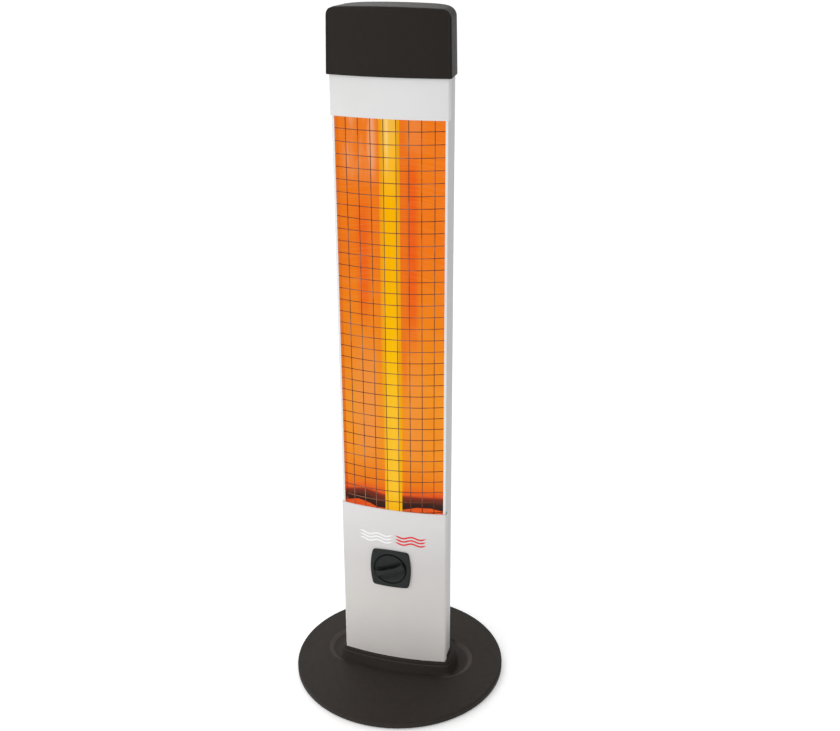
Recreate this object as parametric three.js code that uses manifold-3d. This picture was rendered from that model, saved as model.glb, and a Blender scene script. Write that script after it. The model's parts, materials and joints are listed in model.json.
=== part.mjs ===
// Free-standing infrared tower heater.
// Millimetres, +Z up, the front faces -Y, and the origin is the centre of the base on the floor.
import * as THREE from "three";
import { mergeVertices } from "three/addons/utils/BufferGeometryUtils.js";
import Module from "manifold-3d";

const wasm = await Module();
wasm.setup();

// ---------------------------------------------------------------- driving dimensions
const GAP = 0.3; // clearance between pieces that touch
const FITTING_GAP = 0.5; // clearance of a cover that slides over something

const HEIGHT = 902; // floor to the crown of the cap
const BASE_RADIUS = 145;
const BASE_BOTTOM = 1.2; // lower edge of the base cover
const RIM_TOP = 9.9; // top of the rounded rim
const CROWN_RISE = 3.1; // rise of the base cover from rim to centre

const COLUMN_HALF = 70.5; // half width of the extruded column
const COLUMN_WALL = 1.8;
const FRONT_APEX = -30.2; // foremost line of the front panels
const PANEL_RADIUS = 358.6; // bow of the front panels, seen from above
const BOW_Y = FRONT_APEX + PANEL_RADIUS; // centre of that bow
const BACK_Y = 30; // flat back of the column
const CORNER_X = 24; // half axes of the rounded rear corners
const CORNER_Y = 22;
const COLUMN_BOTTOM = 29.8;
const COLUMN_TOP = 850;
const LIP_REACH = 2.8; // width of the front lips beside the window

const PANEL_THICKNESS = 1.5;
const PANEL_HALF = COLUMN_HALF + PANEL_THICKNESS + GAP;
const PANEL_RETURN_Y = -14.7; // rear end of the panels' turned-in sides
const WINDOW_BOTTOM = 262.9;
const WINDOW_TOP = 777.5;

const CAP_BOTTOM = 825;
const CAP_GROW = 4.8; // cap outline outside the column outline, at its lower edge
const CAP_TAPER = 2.4; // each side of the cap draws in by this much from front to back
const CAP_WALL = 2.1;

const GUARD_HALF = COLUMN_HALF - COLUMN_WALL - FITTING_GAP; // the wires end at the side walls
const GUARD_ENDS_Y = [-18.6, -10.5]; // left and right ends: the guard is sprung in slightly askew
const GUARD_MIDDLE_Y = -25.7;
const GUARD_PITCH_X = 15.3;
const GUARD_PITCH_Z = 15.25;
const GUARD_COLUMNS = 8;
const GUARD_ROWS = 35;
const GUARD_LOWEST = 259.2;
const GUARD_OVERRUN = 3; // uprights run on past the outermost rows
const WIRE = 1.2;

const LAMP_X = -2.6;
const LAMP_Y = -10;
const TUBE_RADIUS = 5.5; // each limb of the twin quartz tube
const TUBE_BORE = 4.3;
const TUBE_SPACING = 6; // limb centre from the lamp's centre
const LAMP_BOTTOM = 230.3;
const LAMP_TOP = 809.7;
const END_PLATE_LOW = 239.5;
const END_PLATE_HIGH = 799.7;
const SHEET = 0.8;

const KNOB_X = -2.5;
const KNOB_Z = 174;
const KNOB_RADIUS = 21.1;
const KNOB_CLEARANCE = 1.8; // groove between the knob and its surround
const KNOB_TURN = THREE.MathUtils.degToRad(22); // the grip's angle from level at rest
const BEZEL_FRONT = FRONT_APEX - 3;

const SCREW_SHANK = 2; // radius
const SCREW_HEAD = 3.6; // radius
const SCREW_HOLE = 2.4; // radius

const PLUNGER_X = -32.5;
const PLUNGER_Y = 1;
const PLUNGER_HOLE = 4; // radius
const FOOT_PLACE = 90; // feet at (+-90, +-90)

const GLAND_X = 30;
const GLAND_Z = 95;

// ---------------------------------------------------------------- materials
const finish = (color, roughness, metalness) =>
  new THREE.MeshStandardMaterial({ color, roughness, metalness });

const blackPlastic = () => finish(0x2f2b28, 0.55, 0);
const knobPlastic = () => finish(0x333634, 0.5, 0);
const silverPaint = () => finish(0xd2cfcf, 0.42, 0.35);
const anodised = () => finish(0xdcdbdb, 0.35, 0.8);
const zincSteel = () => finish(0xa9a9a6, 0.45, 0.9);
const mirrorSheet = () => finish(0xf0a050, 0.12, 1);
const quartz = () => finish(0xffc83a, 0.08, 0);
const ceramic = () => finish(0xe9e4d8, 0.7, 0);
const rubber = () => finish(0x1c1c1c, 0.9, 0);
const guardSteel = () => finish(0x4a3a30, 0.45, 0.8);
const screwSteel = () => finish(0x8c8c8a, 0.4, 0.9);
const wireSleeve = (color) => finish(color, 0.6, 0);

// ---------------------------------------------------------------- solids
const reversed = (index) => {
  for (let i = 0; i < index.length; i += 3) {
    [index[i + 1], index[i + 2]] = [index[i + 2], index[i + 1]];
  }
  return index;
};

// A closed geometry as a manifold-3d solid, with its faces turned outwards.
function solid(geometry) {
  const bare = geometry.clone();
  bare.deleteAttribute("normal");
  bare.deleteAttribute("uv");
  const merged = mergeVertices(bare, 1e-4);
  const vertProperties = merged.attributes.position.array;
  const build = (triVerts) =>
    new wasm.Manifold(new wasm.Mesh({ numProp: 3, vertProperties, triVerts }));
  const made = build(new Uint32Array(merged.index.array));
  return made.volume() < 0 ? build(reversed(new Uint32Array(merged.index.array))) : made;
}

function geometryOf(made) {
  const { vertProperties, triVerts } = made.getMesh();
  return new THREE.BufferGeometry()
    .setAttribute("position", new THREE.BufferAttribute(vertProperties, 3))
    .setIndex(new THREE.BufferAttribute(triVerts, 1));
}

const join = (first, ...others) => others.reduce((sum, next) => sum.add(next), first);
const cut = (first, ...tools) => tools.reduce((rest, tool) => rest.subtract(tool), first);

const block = (x0, x1, y0, y1, z0, z1) =>
  solid(
    new THREE.BoxGeometry(x1 - x0, y1 - y0, z1 - z0).translate(
      (x0 + x1) / 2,
      (y0 + y1) / 2,
      (z0 + z1) / 2,
    ),
  );

// An outline in the XY plane, extruded upwards from z0 to z1.
const prism = (shape, z0, z1, curveSegments = 12) =>
  solid(
    new THREE.ExtrudeGeometry(shape, {
      depth: z1 - z0,
      bevelEnabled: false,
      curveSegments,
    }).translate(0, 0, z0),
  );

// An outline drawn as seen from the front (x right, z up), extruded from yBack towards yFront.
const frontPrism = (shape, yBack, yFront, curveSegments = 12) =>
  solid(
    new THREE.ExtrudeGeometry(shape, {
      depth: yBack - yFront,
      bevelEnabled: false,
      curveSegments,
    })
      .rotateX(Math.PI / 2)
      .translate(0, yBack, 0),
  );

// An outline in the XY plane carried through sections of { z, inset }. An inset draws the outline
// in by that much on each side; the result stands upright.
function stack(shape, sections, curveSegments = 12) {
  const steps = sections.length - 1;
  const geometry = new THREE.ExtrudeGeometry(shape, {
    depth: steps,
    steps,
    bevelEnabled: false,
    curveSegments,
  });
  geometry.computeBoundingBox();
  const middle = geometry.boundingBox.getCenter(new THREE.Vector3());
  const half = geometry.boundingBox.getSize(new THREE.Vector3()).multiplyScalar(0.5);
  const position = geometry.attributes.position;
  for (let i = 0; i < position.count; i++) {
    const { z, inset } = sections[Math.round(position.getZ(i))];
    const x = middle.x + (position.getX(i) - middle.x) * (1 - inset / half.x);
    const y = middle.y + (position.getY(i) - middle.y) * (1 - inset / half.y);
    position.setXYZ(i, x, y, z);
  }
  return geometry;
}

// A turned piece about the Z axis; profile points are [radius, z].
const turned = (profile, sides = 24) =>
  solid(
    new THREE.LatheGeometry(
      profile.map(([radius, z]) => new THREE.Vector2(radius, z)),
      sides,
    ).rotateX(Math.PI / 2),
  );

const rodZ = (radius, x, y, z0, z1, sides = 16) =>
  solid(
    new THREE.CylinderGeometry(radius, radius, z1 - z0, sides)
      .rotateX(Math.PI / 2)
      .translate(x, y, (z0 + z1) / 2),
  );

const rodY = (radius, x, z, y0, y1, sides = 16) =>
  solid(
    new THREE.CylinderGeometry(radius, radius, y1 - y0, sides).translate(x, (y0 + y1) / 2, z),
  );

// A sheet folded along a polyline of [x, y] points, thickened to one side.
function foldedSheet(points, thickness) {
  const line = points.map(([x, y]) => new THREE.Vector2(x, y));
  const normals = line.slice(1).map((p, i) => {
    const along = p.clone().sub(line[i]).normalize();
    return new THREE.Vector2(-along.y, along.x);
  });
  const back = line.map((p, i) => {
    const before = normals[Math.max(i - 1, 0)];
    const after = normals[Math.min(i, normals.length - 1)];
    const mitre = before.clone().add(after).normalize();
    return p.clone().addScaledVector(mitre, thickness / mitre.dot(before));
  });
  return new THREE.Shape([...line, ...back.reverse()]);
}

// A regular six-sided outline about the origin.
function hexagon(radius) {
  const corners = [];
  for (let i = 0; i < 6; i++) {
    const a = (i * Math.PI) / 3;
    corners.push(new THREE.Vector2(radius * Math.cos(a), radius * Math.sin(a)));
  }
  return new THREE.Shape(corners);
}

// ---------------------------------------------------------------- outlines
const frontArc = (shape, radius, half, clockwise) => {
  const turn = Math.asin(half / radius);
  const [from, to] = clockwise ? [turn, -turn] : [-turn, turn];
  shape.absarc(0, BOW_Y, radius, -Math.PI / 2 + from, -Math.PI / 2 + to, clockwise);
};

// The column seen from above, grown outwards (or inwards, if negative). A taper draws the sides in
// towards the back.
function columnOutline(grow, taper = 0) {
  const half = COLUMN_HALF + grow;
  const cornerX = COLUMN_HALF - CORNER_X;
  const cornerY = BACK_Y - CORNER_Y;
  const reachX = CORNER_X + grow - taper;
  const reachY = CORNER_Y + grow;
  const quarter = Math.PI / 2;
  const shape = new THREE.Shape();
  frontArc(shape, PANEL_RADIUS - PANEL_THICKNESS - GAP + grow, half, false);
  shape.absellipse(cornerX, cornerY, reachX, reachY, 0, quarter, false);
  shape.absellipse(-cornerX, cornerY, reachX, reachY, quarter, 2 * quarter, false);
  return shape;
}

function panelOutline() {
  const inner = PANEL_HALF - PANEL_THICKNESS;
  const shape = new THREE.Shape();
  frontArc(shape, PANEL_RADIUS, PANEL_HALF, false);
  shape.lineTo(PANEL_HALF, PANEL_RETURN_Y);
  shape.lineTo(inner, PANEL_RETURN_Y);
  frontArc(shape, PANEL_RADIUS - PANEL_THICKNESS, inner, true);
  shape.lineTo(-inner, PANEL_RETURN_Y);
  shape.lineTo(-PANEL_HALF, PANEL_RETURN_Y);
  return shape;
}

function stadium(halfLength, radius, centreX, centreY) {
  const reach = halfLength - radius;
  const shape = new THREE.Shape();
  shape.absarc(centreX + reach, centreY, radius, -Math.PI / 2, Math.PI / 2, false);
  shape.absarc(centreX - reach, centreY, radius, Math.PI / 2, (3 * Math.PI) / 2, false);
  return shape;
}

// The collar round the column's foot: bowed front, sides that swell out, flat back, soft corners.
function plinthOutline() {
  const half = 74.5;
  const soft = 4.5; // length that each corner's rounding takes from the edges beside it
  const radius = PANEL_RADIUS + 2.2;
  const cornerY = BOW_Y - Math.sqrt(radius ** 2 - half ** 2);
  const backHalf = 66;
  const backY = BACK_Y + 3;
  const sideStart = [half + 0.4 * soft, cornerY + 0.9 * soft];
  const sideEnd = [backHalf + 0.6 * soft, backY - 0.8 * soft];
  const swell = [88, 4]; // control point of each side
  const shape = new THREE.Shape();
  frontArc(shape, radius, half - soft, false);
  shape.quadraticCurveTo(half, cornerY, ...sideStart);
  shape.quadraticCurveTo(...swell, ...sideEnd);
  shape.quadraticCurveTo(backHalf, backY, backHalf - soft, backY);
  shape.lineTo(-backHalf + soft, backY);
  shape.quadraticCurveTo(-backHalf, backY, -sideEnd[0], sideEnd[1]);
  shape.quadraticCurveTo(-swell[0], swell[1], -sideStart[0], sideStart[1]);
  const frontEnd = half - soft;
  shape.quadraticCurveTo(-half, cornerY, -frontEnd, BOW_Y - Math.sqrt(radius ** 2 - frontEnd ** 2));
  return shape;
}

// ---------------------------------------------------------------- assembly
const heater = new THREE.Group();
heater.name = "tower_heater";

function add(name, made, material, place) {
  const mesh = new THREE.Mesh(geometryOf(made), material);
  mesh.name = name;
  if (place) mesh.position.set(...place);
  heater.add(mesh);
}

// ---------------------------------------------------------------- base
const BASE_SIDES = 72;
const PLATE_LOW = 1.5;
const PLATE_HIGH = 5;
const PLATE_RADIUS = 140;
const COVER_FLOOR = PLATE_HIGH + GAP; // underside of the cover below the recess
const COVER_UNDERSIDE = 7.5; // underside of the cover elsewhere
const RECESS_FLOOR = 8;
const RECESS_HALF = 105;
const RECESS_RADIUS = 47;
const RECESS_X = -2;
const RECESS_Y = 9;
const RECESS_BEVEL = 9;
const PLINTH_TOP = COLUMN_BOTTOM - GAP;
const SKIRT_TOP = 21;
const LEDGE = 1.4; // width of the ledge the column stands on
const SKIRT_FLARE = 5;
const COVER_SCREW_PLACE = 122;
const COVER_CLEARANCE = 1.2; // between the ballast plate and the cover's rim
const BOSS_RADIUS = 4.5; // solid round each cover screw
const FOOT_STUD = 3.6; // radius

const footPlaces = [
  [-FOOT_PLACE, -FOOT_PLACE],
  [FOOT_PLACE, -FOOT_PLACE],
  [FOOT_PLACE, FOOT_PLACE],
  [-FOOT_PLACE, FOOT_PLACE],
];
const coverScrewPlaces = [
  [0, -COVER_SCREW_PLACE],
  [COVER_SCREW_PLACE, 0],
  [0, COVER_SCREW_PLACE],
  [-COVER_SCREW_PLACE, 0],
];
const baseScrewPlaces = [
  [-50, -6],
  [50, -6],
  [50, 16],
  [-50, 16],
];

// A countersunk screw standing upwards from z0, with its head below.
function countersunk(length, grow, z0, sides = 10) {
  const head = SCREW_HEAD + grow;
  const shank = SCREW_SHANK + grow;
  const low = z0 - grow;
  const coneLow = z0 + 0.3;
  const coneHigh = z0 + 1.9 + grow;
  return turned(
    [
      [0, low],
      [head, low],
      [head, coneLow],
      [shank, coneHigh],
      [shank, z0 + length + grow],
      [0, z0 + length + grow],
    ],
    sides,
  );
}

function buildBase() {
  const edge = 2.2; // rounding of the rim's upper edge
  const lowerEdge = 1; // chamfer of its lower edge
  const crownShoulder = 100; // radius at which the crown flattens
  const disc = turned(
    [
      [0, BASE_BOTTOM],
      [BASE_RADIUS - lowerEdge, BASE_BOTTOM],
      [BASE_RADIUS, BASE_BOTTOM + lowerEdge],
      [BASE_RADIUS, RIM_TOP - edge],
      [BASE_RADIUS - 0.3 * edge, RIM_TOP - 0.3 * edge],
      [BASE_RADIUS - edge, RIM_TOP],
      [crownShoulder, RIM_TOP + 0.6 * CROWN_RISE],
      [0, RIM_TOP + CROWN_RISE],
    ],
    BASE_SIDES,
  );
  const recess = solid(
    stack(
      stadium(RECESS_HALF, RECESS_RADIUS, RECESS_X, RECESS_Y),
      [
        { z: RECESS_FLOOR, inset: RECESS_BEVEL },
        { z: RIM_TOP + 2, inset: 0 },
        { z: RIM_TOP + 30, inset: 0 },
      ],
      14,
    ),
  );
  const plinthEdge = 0.8; // chamfer of the plinth's upper edge
  const plinth = solid(
    stack(
      plinthOutline(),
      [
        { z: COVER_FLOOR, inset: -SKIRT_FLARE },
        { z: RECESS_FLOOR, inset: -SKIRT_FLARE },
        { z: 12, inset: -0.45 * SKIRT_FLARE },
        { z: SKIRT_TOP, inset: 0 },
        { z: PLINTH_TOP - plinthEdge, inset: 0 },
        { z: PLINTH_TOP, inset: plinthEdge },
      ],
      6,
    ),
  );
  const hollowRadius = PLATE_RADIUS + COVER_CLEARANCE;
  const underside = join(
    cut(
      rodZ(hollowRadius, 0, 0, 0, COVER_UNDERSIDE, BASE_SIDES),
      prism(stadium(RECESS_HALF, RECESS_RADIUS, RECESS_X, RECESS_Y), -1, 20, 14),
      ...coverScrewPlaces.map(([x, y]) => rodZ(BOSS_RADIUS, x, y, -1, 20)),
    ),
    rodZ(hollowRadius, 0, 0, 0, COVER_FLOOR, BASE_SIDES),
  );
  const screwLow = 1.9;
  const screwLength = 6.6;
  const screwTop = screwLow + screwLength;
  const cover = cut(
    join(cut(disc, recess), plinth),
    underside,
    prism(columnOutline(-LEDGE), 0, PLINTH_TOP + 1),
    ...coverScrewPlaces.map(([x, y]) => rodZ(SCREW_SHANK + GAP, x, y, 0, screwTop + 0.7)),
  );
  add("base_cover", cover, blackPlastic());

  const plate = cut(
    rodZ(PLATE_RADIUS, 0, 0, PLATE_LOW, PLATE_HIGH, 64),
    ...footPlaces.map(([x, y]) => rodZ(FOOT_STUD + 0.4, x, y, 0, 10, 12)),
    ...[...baseScrewPlaces, ...coverScrewPlaces].map(([x, y]) =>
      countersunk(8, GAP + 0.05, screwLow).translate([x, y, 0]),
    ),
    rodZ(PLUNGER_HOLE, PLUNGER_X, PLUNGER_Y, 0, 10, 16),
  );
  add("ballast_plate", plate, zincSteel());

  const foot = turned(
    [
      [0, 0],
      [9, 0],
      [10, 0.5],
      [10, PLATE_LOW - GAP],
      [FOOT_STUD, PLATE_LOW - GAP],
      [FOOT_STUD, PLATE_HIGH],
      [0, PLATE_HIGH],
    ],
    16,
  );
  footPlaces.forEach(([x, y], i) => add(`base_foot_${i + 1}`, foot, rubber(), [x, y, 0]));

  const short = countersunk(screwLength, 0, screwLow);
  baseScrewPlaces.forEach(([x, y], i) => {
    add(`base_screw_${i + 1}`, short, screwSteel(), [x, y, 0]);
  });
  coverScrewPlaces.forEach(([x, y], i) => {
    add(`cover_screw_${i + 1}`, short, screwSteel(), [x, y, 0]);
  });
}

// ---------------------------------------------------------------- column and its bracket
const BRACKET_BACK = BACK_Y - COLUMN_WALL - GAP; // rear face of the pieces on the column's back
const BRACKET_LOW = COVER_FLOOR;
const EARTH = [20, 50]; // x and z of the earth screw
const columnScrewPlaces = [
  [-34, 44],
  [34, 44],
  [34, 62],
  [-34, 62],
];
const lampScrewPlaces = { lower: [0, 208], upper: [0, 811] };
const VENT_HALF = 27; // half length of each vent slot in the back
const VENTS_LOW = [128, 138, 148, 158];
const VENTS_HIGH = [752, 762, 772, 782];
const CAP_SCREW_X = 36;
const CAP_SCREW_Z = 840;

// A pan-head screw with its head at the back, pointing towards the front from y.
function panScrew(y, length, headRadius = SCREW_HEAD) {
  const height = 2.3;
  return turned(
    [
      [0, -height],
      [headRadius - 1, -height],
      [headRadius, -height + 1],
      [headRadius, 0],
      [SCREW_SHANK, 0],
      [SCREW_SHANK, length],
      [0, length],
    ],
    10,
  )
    .rotate([90, 0, 0])
    .translate([0, y, 0]);
}

function buildColumn() {
  const inside = COLUMN_HALF - LIP_REACH;
  const profile = cut(
    prism(columnOutline(0), COLUMN_BOTTOM, COLUMN_TOP),
    prism(columnOutline(-COLUMN_WALL), COLUMN_BOTTOM - 1, COLUMN_TOP + 1),
    block(-inside, inside, FRONT_APEX - 10, -10, COLUMN_BOTTOM - 1, COLUMN_TOP + 1),
  );
  const rearHole = (radius, x, z) => rodY(radius, x, z, 20, 40, 12);
  const vents = [...VENTS_LOW, ...VENTS_HIGH].map((z) =>
    block(-VENT_HALF, VENT_HALF, 25, 35, z - 2, z + 2),
  );
  const housing = cut(
    profile,
    ...vents,
    ...columnScrewPlaces.map(([x, z]) => rearHole(SCREW_HOLE, x, z)),
    ...Object.values(lampScrewPlaces).map(([x, z]) => rearHole(SCREW_HOLE, x, z)),
    rearHole(SCREW_HOLE, -CAP_SCREW_X, CAP_SCREW_Z),
    rearHole(SCREW_HOLE, CAP_SCREW_X, CAP_SCREW_Z),
    rearHole(SCREW_HOLE, TERMINAL_X, TERMINAL_Z),
    rodY(6.4, GLAND_X, GLAND_Z, 20, 40, 24),
  );
  add("column_housing", housing, anodised());

  const bracketHalf = 45;
  const bracketTop = 74;
  const steel = 2;
  const gusset = new THREE.Shape([
    new THREE.Vector2(BRACKET_BACK - 1, BRACKET_LOW + 1),
    new THREE.Vector2(BRACKET_BACK - 1, 62),
    new THREE.Vector2(BRACKET_BACK - 3, 62),
    new THREE.Vector2(-12, BRACKET_LOW + 3),
    new THREE.Vector2(-12, BRACKET_LOW + 1),
  ]);
  const gussetAt = (x) =>
    solid(
      new THREE.ExtrudeGeometry(gusset, { depth: steel, bevelEnabled: false })
        .rotateX(Math.PI / 2)
        .rotateZ(Math.PI / 2)
        .translate(x, 0, 0),
    );
  const bracket = cut(
    join(
      prism(columnOutline(-COLUMN_WALL - GAP), BRACKET_LOW, BRACKET_LOW + steel).intersect(
        block(-56, 56, -18, BRACKET_BACK, 0, 20),
      ),
      block(-bracketHalf, bracketHalf, BRACKET_BACK - steel, BRACKET_BACK, BRACKET_LOW, bracketTop),
      gussetAt(-bracketHalf),
      gussetAt(bracketHalf - steel),
    ),
    ...baseScrewPlaces.map(([x, y]) => rodZ(SCREW_HOLE, x, y, 0, 12, 12)),
    ...columnScrewPlaces.map(([x, z]) => rearHole(SCREW_HOLE, x, z)),
    rearHole(SCREW_HOLE, ...EARTH),
    rodZ(PLUNGER_HOLE, PLUNGER_X, PLUNGER_Y, 0, 12, 16),
  );
  add("column_bracket", bracket, zincSteel());

  columnScrewPlaces.forEach(([x, z], i) => {
    add(`column_screw_${i + 1}`, panScrew(BACK_Y + GAP, 7), screwSteel(), [x, 0, z]);
  });
  const earthScrew = panScrew(0, 2.2)
    .rotate([180, 0, 0])
    .translate([0, BRACKET_BACK - steel - GAP, 0]);
  add("earth_screw", earthScrew, screwSteel(), [EARTH[0], 0, EARTH[1]]);
}

// ---------------------------------------------------------------- front panels
const SWITCH_SCREW_X = 14;

function buildPanels() {
  const outline = panelOutline();
  const upper = prism(outline, WINDOW_TOP, COLUMN_TOP, 20);
  add("upper_front_panel", upper, silverPaint());

  const countersink = turned(
    [
      [0, -3],
      [3.2, -3],
      [3.2, 0.6],
      [1.9, 2],
      [1.9, 6],
      [0, 6],
    ],
    12,
  ).rotate([-90, 0, 0]);
  const lower = cut(
    prism(outline, COLUMN_BOTTOM + 0.1, WINDOW_BOTTOM, 20),
    rodY(5, KNOB_X, KNOB_Z, -40, -20, 20),
    countersink.translate([KNOB_X - SWITCH_SCREW_X, FRONT_APEX + 0.7, KNOB_Z]),
    countersink.translate([KNOB_X + SWITCH_SCREW_X, FRONT_APEX + 0.7, KNOB_Z]),
  );
  add("lower_front_panel", lower, silverPaint());
}

// ---------------------------------------------------------------- cap
function buildCap() {
  const draft = 1.4; // each side draws in by this much up to the shoulder
  const shoulder = 889;
  const round = 11; // inset of the rounded top
  const crown = 2.2; // drop of the crown at the sides
  const top = HEIGHT - shoulder;
  const sections = [
    { z: CAP_BOTTOM, inset: 0 },
    { z: shoulder, inset: draft },
  ];
  for (const angle of [18, 36, 54, 72, 90]) {
    const a = THREE.MathUtils.degToRad(angle);
    sections.push({
      z: shoulder + top * Math.sin(a),
      inset: draft + round * (1 - Math.cos(a)),
    });
  }
  const lowered = (geometry) => {
    const position = geometry.attributes.position;
    for (let i = 0; i < position.count; i++) {
      const rise = Math.max(position.getZ(i) - shoulder, 0) / top;
      const side = position.getX(i) / (COLUMN_HALF + CAP_GROW);
      position.setZ(i, position.getZ(i) - crown * rise * side ** 2);
    }
    return geometry;
  };
  const outer = solid(lowered(stack(columnOutline(CAP_GROW, CAP_TAPER), sections, 10)));
  const inner = solid(
    stack(
      columnOutline(CAP_GROW - CAP_WALL, CAP_TAPER),
      [
        { z: CAP_BOTTOM - 1, inset: 0 },
        { z: COLUMN_TOP + 2, inset: 0 },
        { z: shoulder, inset: draft },
        { z: HEIGHT - CAP_WALL - crown, inset: draft + round - 2 },
      ],
      10,
    ),
  );
  const cap = cut(
    outer,
    inner,
    rodY(SCREW_HOLE, -CAP_SCREW_X, CAP_SCREW_Z, 20, 50, 12),
    rodY(SCREW_HOLE, CAP_SCREW_X, CAP_SCREW_Z, 20, 50, 12),
  );
  add("top_cap", cap, blackPlastic());

  const screwY = BACK_Y + CAP_GROW + GAP;
  add("cap_screw_left", panScrew(screwY, 9), screwSteel(), [CAP_SCREW_X, 0, CAP_SCREW_Z]);
  add("cap_screw_right", panScrew(screwY, 9), screwSteel(), [-CAP_SCREW_X, 0, CAP_SCREW_Z]);
}

// ---------------------------------------------------------------- reflector and guard
function buildReflector() {
  const edgeX = COLUMN_HALF - COLUMN_WALL - FITTING_GAP;
  const edgeY = Math.max(...GUARD_ENDS_Y) + WIRE / 2 + FITTING_GAP + SHEET;
  const half = [
    [edgeX, edgeY],
    [61, edgeY],
    [40, 6],
    [18, 12.5],
  ];
  const profile = [...half, ...half.map(([x, y]) => [-x, y]).reverse()].reverse();
  const sheet = prism(foldedSheet(profile, SHEET), END_PLATE_LOW + SHEET + GAP, END_PLATE_HIGH - GAP);
  add("reflector", sheet, mirrorSheet());

  const plateBack = 15;
  const slotRadius = TUBE_RADIUS + 0.8;
  const slotHalf = TUBE_SPACING + slotRadius;
  const plate = cut(
    prism(columnOutline(-COLUMN_WALL - GAP), 0, SHEET),
    block(-80, 80, plateBack, 60, -1, 2),
    prism(stadium(slotHalf, slotRadius, LAMP_X, LAMP_Y), -1, 2, 8),
  );
  add("reflector_end_lower", plate, mirrorSheet(), [0, 0, END_PLATE_LOW]);
  add("reflector_end_upper", plate, mirrorSheet(), [0, 0, END_PLATE_HIGH]);
}

// Centre and radius of the arc through the guard's two ends and its middle.
function guardArc() {
  const [left, right] = GUARD_ENDS_Y;
  const middle = GUARD_MIDDLE_Y;
  const y =
    (2 * middle ** 2 - 2 * GUARD_HALF ** 2 - left ** 2 - right ** 2) / (4 * middle - 2 * (left + right));
  const x = (middle ** 2 - GUARD_HALF ** 2 - left ** 2 - 2 * y * (middle - left)) / (2 * GUARD_HALF);
  return { x, y, radius: Math.hypot(x, y - middle) };
}

function buildGuard() {
  const bow = guardArc();
  const facing = -Math.PI / 2;
  const toLeft = Math.asin((GUARD_HALF + bow.x) / bow.radius);
  const toRight = Math.asin((GUARD_HALF - bow.x) / bow.radius);
  const bar = new THREE.Shape();
  bar.absarc(bow.x, bow.y, bow.radius + WIRE / 2, facing - toLeft, facing + toRight, false);
  bar.absarc(bow.x, bow.y, bow.radius - WIRE / 2, facing + toRight, facing - toLeft, true);
  const row = prism(bar, -WIRE / 2, WIRE / 2, 2);
  const rows = [];
  for (let i = 0; i < GUARD_ROWS; i++) {
    rows.push(row.translate([0, 0, GUARD_LOWEST + i * GUARD_PITCH_Z]));
  }
  const low = GUARD_LOWEST - GUARD_OVERRUN;
  const high = GUARD_LOWEST + (GUARD_ROWS - 1) * GUARD_PITCH_Z + GUARD_OVERRUN;
  const weld = 0.35; // the uprights are sunk this far into the rows
  const bars = [];
  for (let i = 0; i < GUARD_COLUMNS; i++) {
    const x = (i - (GUARD_COLUMNS - 1) / 2) * GUARD_PITCH_X;
    const back = weld + bow.y - Math.sqrt(bow.radius ** 2 - (x - bow.x) ** 2);
    bars.push(block(x - WIRE / 2, x + WIRE / 2, back - WIRE, back, low, high));
  }
  add("guard_mesh", join(...bars, ...rows), guardSteel());
}

// ---------------------------------------------------------------- lamp
const CERAMIC_LOW = 220.7;
const CERAMIC_HEIGHT = 17.8;

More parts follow.
